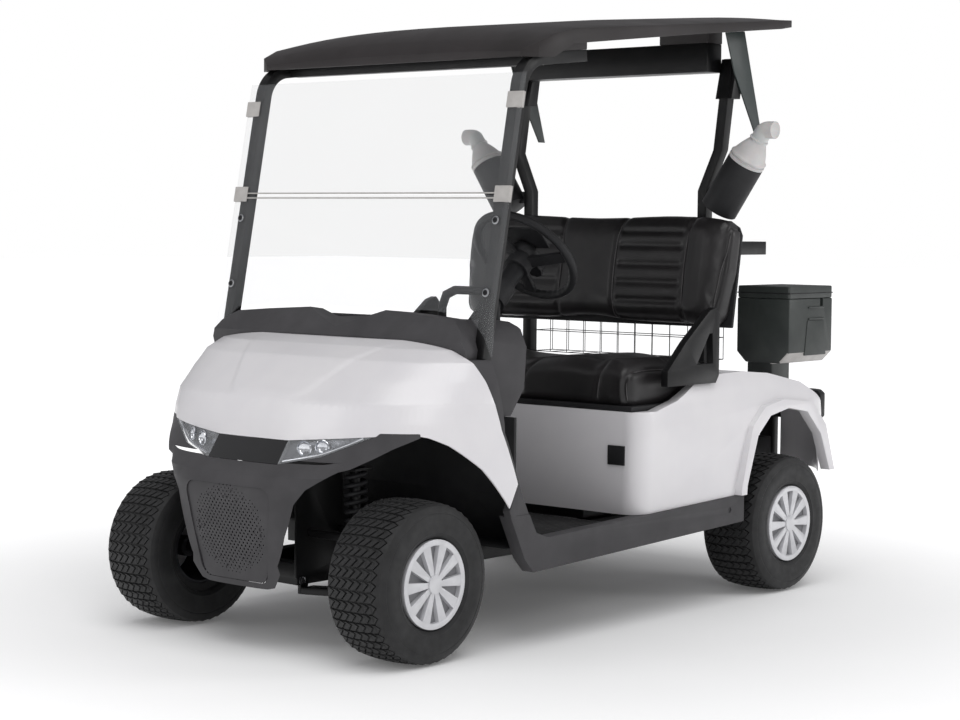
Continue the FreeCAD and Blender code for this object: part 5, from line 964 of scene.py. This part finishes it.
# Cooler: grab slot with its lip, ledge and tapered panel on the outer face, light lower edge, lid's seal

# what is on the outer face, as (x from, x to, z from, z to, proud, sunk, edge)
cooler = fromMm({"slot": (-937, -955, 922, 962, 5, 9, 0), "lip": (-864, -958, 915, 921, 5, 3, 1.6),
                 "ledge": (-866, -957, 878, 884, 5, 3, 1.6), "panel": (-860, -958, 762, 876, 2.6, 3, 1.2),
                 "kick": 790, "seal": 4, "sealUp": 15, "sealOut": 0.6, "bandCorner": 1.2})
cooler |= {"flare": 1.32, "kickFacing": 0.25}


def onCooler(key):
    # a plate on the cooler's outer face, standing proud of it and sunk into it
    start, end, foot, head, proud, deep, edge = cooler[key]
    origin = Vector(((start + end) / 2, farOff, (foot + head) / 2))
    spot = surfaceOf(nodes["cooler_box"]).ray_cast(origin, Vector((0, -1, 0)))[0]
    return slab((end, spot.y - deep, foot), (start, spot.y + proud, head), key, edge)


def lowEdge(place, normal):
    facing = normal.z < -cooler["kickFacing"] and normal.y > cooler["kickFacing"]
    return facing and place.z < cooler["kick"]


shell = bpy.data.objects["coolerBox"]
cutter = onCooler("slot")
modify(shell, "BOOLEAN", operation="DIFFERENCE", object=cutter, solver="EXACT")
bpy.data.objects.remove(cutter)
plates = [onCooler(key) for key in ("lip", "ledge", "panel")]
start, end, foot, head = cooler["panel"][:4]
for corner in plates[2].data.vertices:
    fall = (head - corner.co.z) / (head - foot)
    corner.co.x = (start + end) / 2 + (corner.co.x - (start + end) / 2) * (1 + (cooler["flare"] - 1) * fall)
dress(joinAll(plates, "coolerPlates"), coolerShell, "cooler_box", stands=False)
paintFaces(shell, greyAcetal, lowEdge)
low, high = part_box("cooler_lid")
out, height = cooler["sealOut"], low.z + cooler["sealUp"]
band = slab((low.x - out, low.y - out, height), (high.x + out, high.y + out, height + cooler["seal"]),
            "coolerBand", cooler["bandCorner"], 4)
dress(band, softBlack, "cooler_lid", stands=False)
say("cooler")

# Coil springs: round wire wound round the dampers, closed at both ends

spring = fromMm({"wire": 6.2, "mean": 28, "footY": 262, "headY": 252}) | {"turns": 7.5}
low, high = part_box("coil_springs")
foot = Vector(((low.x + high.x) / 2, spring["footY"], low.z + spring["wire"]))
head = Vector(((low.x + high.x) / 2, spring["headY"], high.z - spring["wire"]))
coil = added("frontCoilLeft", bpy.ops.mesh.primitive_circle_add, vertices=10, radius=spring["wire"],
             location=(spring["mean"], 0, 0), rotation=(math.pi / 2, 0, 0))
bpy.ops.object.transform_apply(location=True, rotation=True, scale=True)
modify(coil, "SCREW", angle=2 * math.pi * spring["turns"], screw_offset=(head - foot).length, iterations=1,
       steps=150, render_steps=150, axis="Z", use_normal_calculate=True)
openMesh(coil, "EDGE")
bpy.ops.mesh.select_non_manifold()
bpy.ops.mesh.edge_face_add()
closeMesh()
tidyFaces(coil)
coil.data.transform(turnTo(head - foot, foot))
coils = joinAll([coil, mirrorY(coil, "coilRight")], "frontCoils")
dress(coils, mouldedBlack, "coil_springs", smooth=50)
say("coil springs")

# Sand bottles: stepped collar, domed shoulder, thick neck and a spout bent outwards

# the spout's track has points that lie along the bottle and along the spout
sand = fromMm({"top": (-564.5, 532, 1383), "length": 178, "neck": 27, "neckStart": 261, "neckLength": 52,
               "spout": 27.5, "spoutTrack": [(-46, 0), (-26, 0), (-8, 0), (0, 6), (0, 22), (0, 40)]})
sand |= {"lean": 34, "bend": 58}
# the bottle's outline as (radius, height) in mm
bottleLine = [(0.5, 6), (54, 6), (54.5, 12), (54.5, 178), (60, 179), (60.5, 182), (60.5, 188), (57, 190),
              (57, 193), (60.5, 195), (60.5, 199), (57.5, 202), (54, 206), (50, 216), (43, 231), (35, 246),
              (29, 256), (28, 260), (31, 262), (31, 266), (27, 268), (26, 300), (12, 306), (0.5, 307)]


def leaning(degrees):
    return Vector((0, math.sin(math.radians(degrees)), math.cos(math.radians(degrees))))


axis = leaning(sand["lean"])
spoutWay = leaning(sand["lean"] + sand["bend"])
start = Vector(sand["top"]) - axis * sand["length"]
flask = spun(fromMm(bottleLine), "flask", steps=48)
flask.data.transform(turnTo(axis, start, "Y", "Z"))
root = start + axis * (sand["neckStart"] + sand["neckLength"] - sand["neck"] / 2)
spoutPoints = [root + axis * along + spoutWay * out for along, out in sand["spoutTrack"]]
spout = tubeAlong(spoutPoints, sand["spout"], "spout", sides=9)
flask = joinAll([flask, spout], "sandBottleLeft")
flasks = joinAll([flask, mirrorY(flask, "sandBottleRight")], "sandBottles")
dress(flasks, milkyPoly, "sand_bottles", smooth=50)
say("sand bottles")

# Ribbed floor mat

mat = fromMm({"pitch": 18, "rib": 9, "rise": 2.4, "sink": 1, "margin": 14, "edge": 1.5, "ribEdge": 1})
low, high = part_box("floor_mat")
base = copyOf("floor_mat", "floorMat", mat["edge"])
rib = slab((low.x + mat["margin"], low.y + mat["margin"], high.z - mat["sink"]),
           (high.x - mat["margin"], low.y + mat["margin"] + mat["rib"], high.z + mat["rise"]), "rib",
           mat["ribEdge"])
modify(rib, "ARRAY", count=int((high.y - low.y - 2 * mat["margin"]) / mat["pitch"]),
       use_relative_offset=False, use_constant_offset=True, constant_offset_displace=(0, mat["pitch"], 0))
dress(joinAll([base, rib], "floorMat"), matRubber, "floor_mat")
say("floor mat")

# Steering wheel: hub and spokes kept from the solid, a grip with finger notches, a clip board over the hub

# the hub's skirt and cap are outlines as (radius, y)
steer = fromMm({"hub": (208.5, 270, 1090), "radius": 161, "grip": 13.5, "edge": 0.8,
                "skirt": [(0.2, -44), (27, -44), (30, -40), (31, -26), (36, -22), (46, -8), (50, 6), (44, 15),
                          (0.2, 17)],
                "cap": [(0.2, 0), (27, 0), (27, 12), (23, 16), (23, 30), (20, 34), (0.2, 34)],
                "capAt": (0, -62, 0), "board": [(-88, 12, 18), (88, 92, 25)], "boardEdge": 3,
                "clip": [(-62, 20, 27), (-62, 74, 36), (62, 74, 36), (62, 20, 27)], "wire": 1.6})
steer |= {"axis": (-0.738455, 0, 0.674302), "notches": 40, "notch": 0.13, "rimShare": 1.25}
wheelPlane = turnTo(Vector(steer["axis"]), steer["hub"])
core = copyOf("steering_wheel", "steeringWheel", steer["edge"])


def onRim(face):
    local = wheelPlane.inverted() @ face.calc_center_median()
    return math.hypot(local.x, local.y) > steer["radius"] - steer["rimShare"] * steer["grip"]


pick(core, "FACE", onRim)
bpy.ops.mesh.delete(type="FACE")
closeMesh()
grip = added("grip", bpy.ops.mesh.primitive_torus_add, major_segments=160, minor_segments=18,
             major_radius=steer["radius"], minor_radius=steer["grip"])
for corner in grip.data.vertices:
    around = math.atan2(corner.co.y, corner.co.x)
    spine = Vector((math.cos(around), math.sin(around), 0)) * steer["radius"]
    out = corner.co - spine
    inward = max(0.0, -out.dot(spine.normalized()) / steer["grip"])
    dent = steer["notch"] * inward * (0.5 + 0.5 * math.cos(around * steer["notches"]))
    corner.co = spine + out * (1 - dent)
skirt = spun(steer["skirt"], "skirt", steps=32)
cap = spun(steer["cap"], "cap", steps=8)
board = slab(*steer["board"], "board", steer["boardEdge"])
clip = tubeAlong(steer["clip"], steer["wire"], "clip", sides=2, smooth=False)
upright = Matrix.Rotation(math.pi / 2, 4, "X")
skirt.data.transform(upright)
cap.data.transform(Matrix.Translation(steer["capAt"]) @ upright)
for piece in (grip, skirt, cap, board, clip):
    piece.data.transform(wheelPlane)
steeringWheel = joinAll([core, grip, skirt, cap, board], "steeringWheel")
dress(steeringWheel, softBlack, "steering_wheel", smooth=50)
dress(clip, zincSteel, "steering_wheel", stands=False)
say("steering wheel")

# Zinc washers and screws: through the pane into the struts, and on the frame's front lugs

# both turned outlines are (radius, y)
screw = fromMm({"washer": [(5.5, 0), (12, 0), (12, 1.12), (11.2, 1.6), (5.5, 1.6)],
                "head": [(0.2, 1.6), (7.2, 1.6), (8, 3.1), (6.4, 4.5), (3.6, 4.5), (3.36, 2.3), (0.2, 2.3)],
                "paneY": 511, "paneZ": (995, 1194), "lug": (1000.5, 1000, 196)})


def fasten(node, origin, direction, master):
    # sets a screw where a line from the origin first meets the node
    place, normal, index, distance = surfaceOf(nodes[node]).ray_cast(Vector(origin), Vector(direction))
    return twin(master, "screw", turnTo(normal, place, "Y", "Z"))


for name, key, steps, finish in (("zincWashers", "washer", 28, zincSteel),
                                 ("screwHeads", "head", 20, mouldedBlack)):
    master = spun(screw[key], key, steps)
    found = [fasten("windshield", (farOff, side * screw["paneY"], z), (-1, 0, 0), master)
             for side in (1, -1) for z in screw["paneZ"]]
    x, y, z = screw["lug"]
    found += [fasten("chassis_frame", (x, side * y, z), (0, -side, 0), master) for side in (1, -1)]
    dress(joinAll(found, name), finish, "chassis_frame", smooth=35, stands=False)
    bpy.data.objects.remove(master)
say("screws")

# The two panes meet in a grey extrusion on each edge

strip = fromMm({"heights": (1255, 1269), "half": 540, "radius": 2.1}) | {"steps": 12}
paneTree = surfaceOf(nodes["windshield"])
strips = []
for height in strip["heights"]:
    shares = [step / strip["steps"] for step in range(-strip["steps"], strip["steps"] + 1)]
    hits = [fromAhead(paneTree, strip["half"] * share, height) for share in shares]
    strips.append(tubeAlong([hit for hit in hits if hit], strip["radius"], "strip", sides=2))
dress(joinAll(strips, "paneStrips"), greyAcetal, "windshield_clips", stands=False)
say("pane strips")

size = {"cad": [list(corner) for corner in cadBox], "visual": [list(corner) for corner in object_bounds()]}
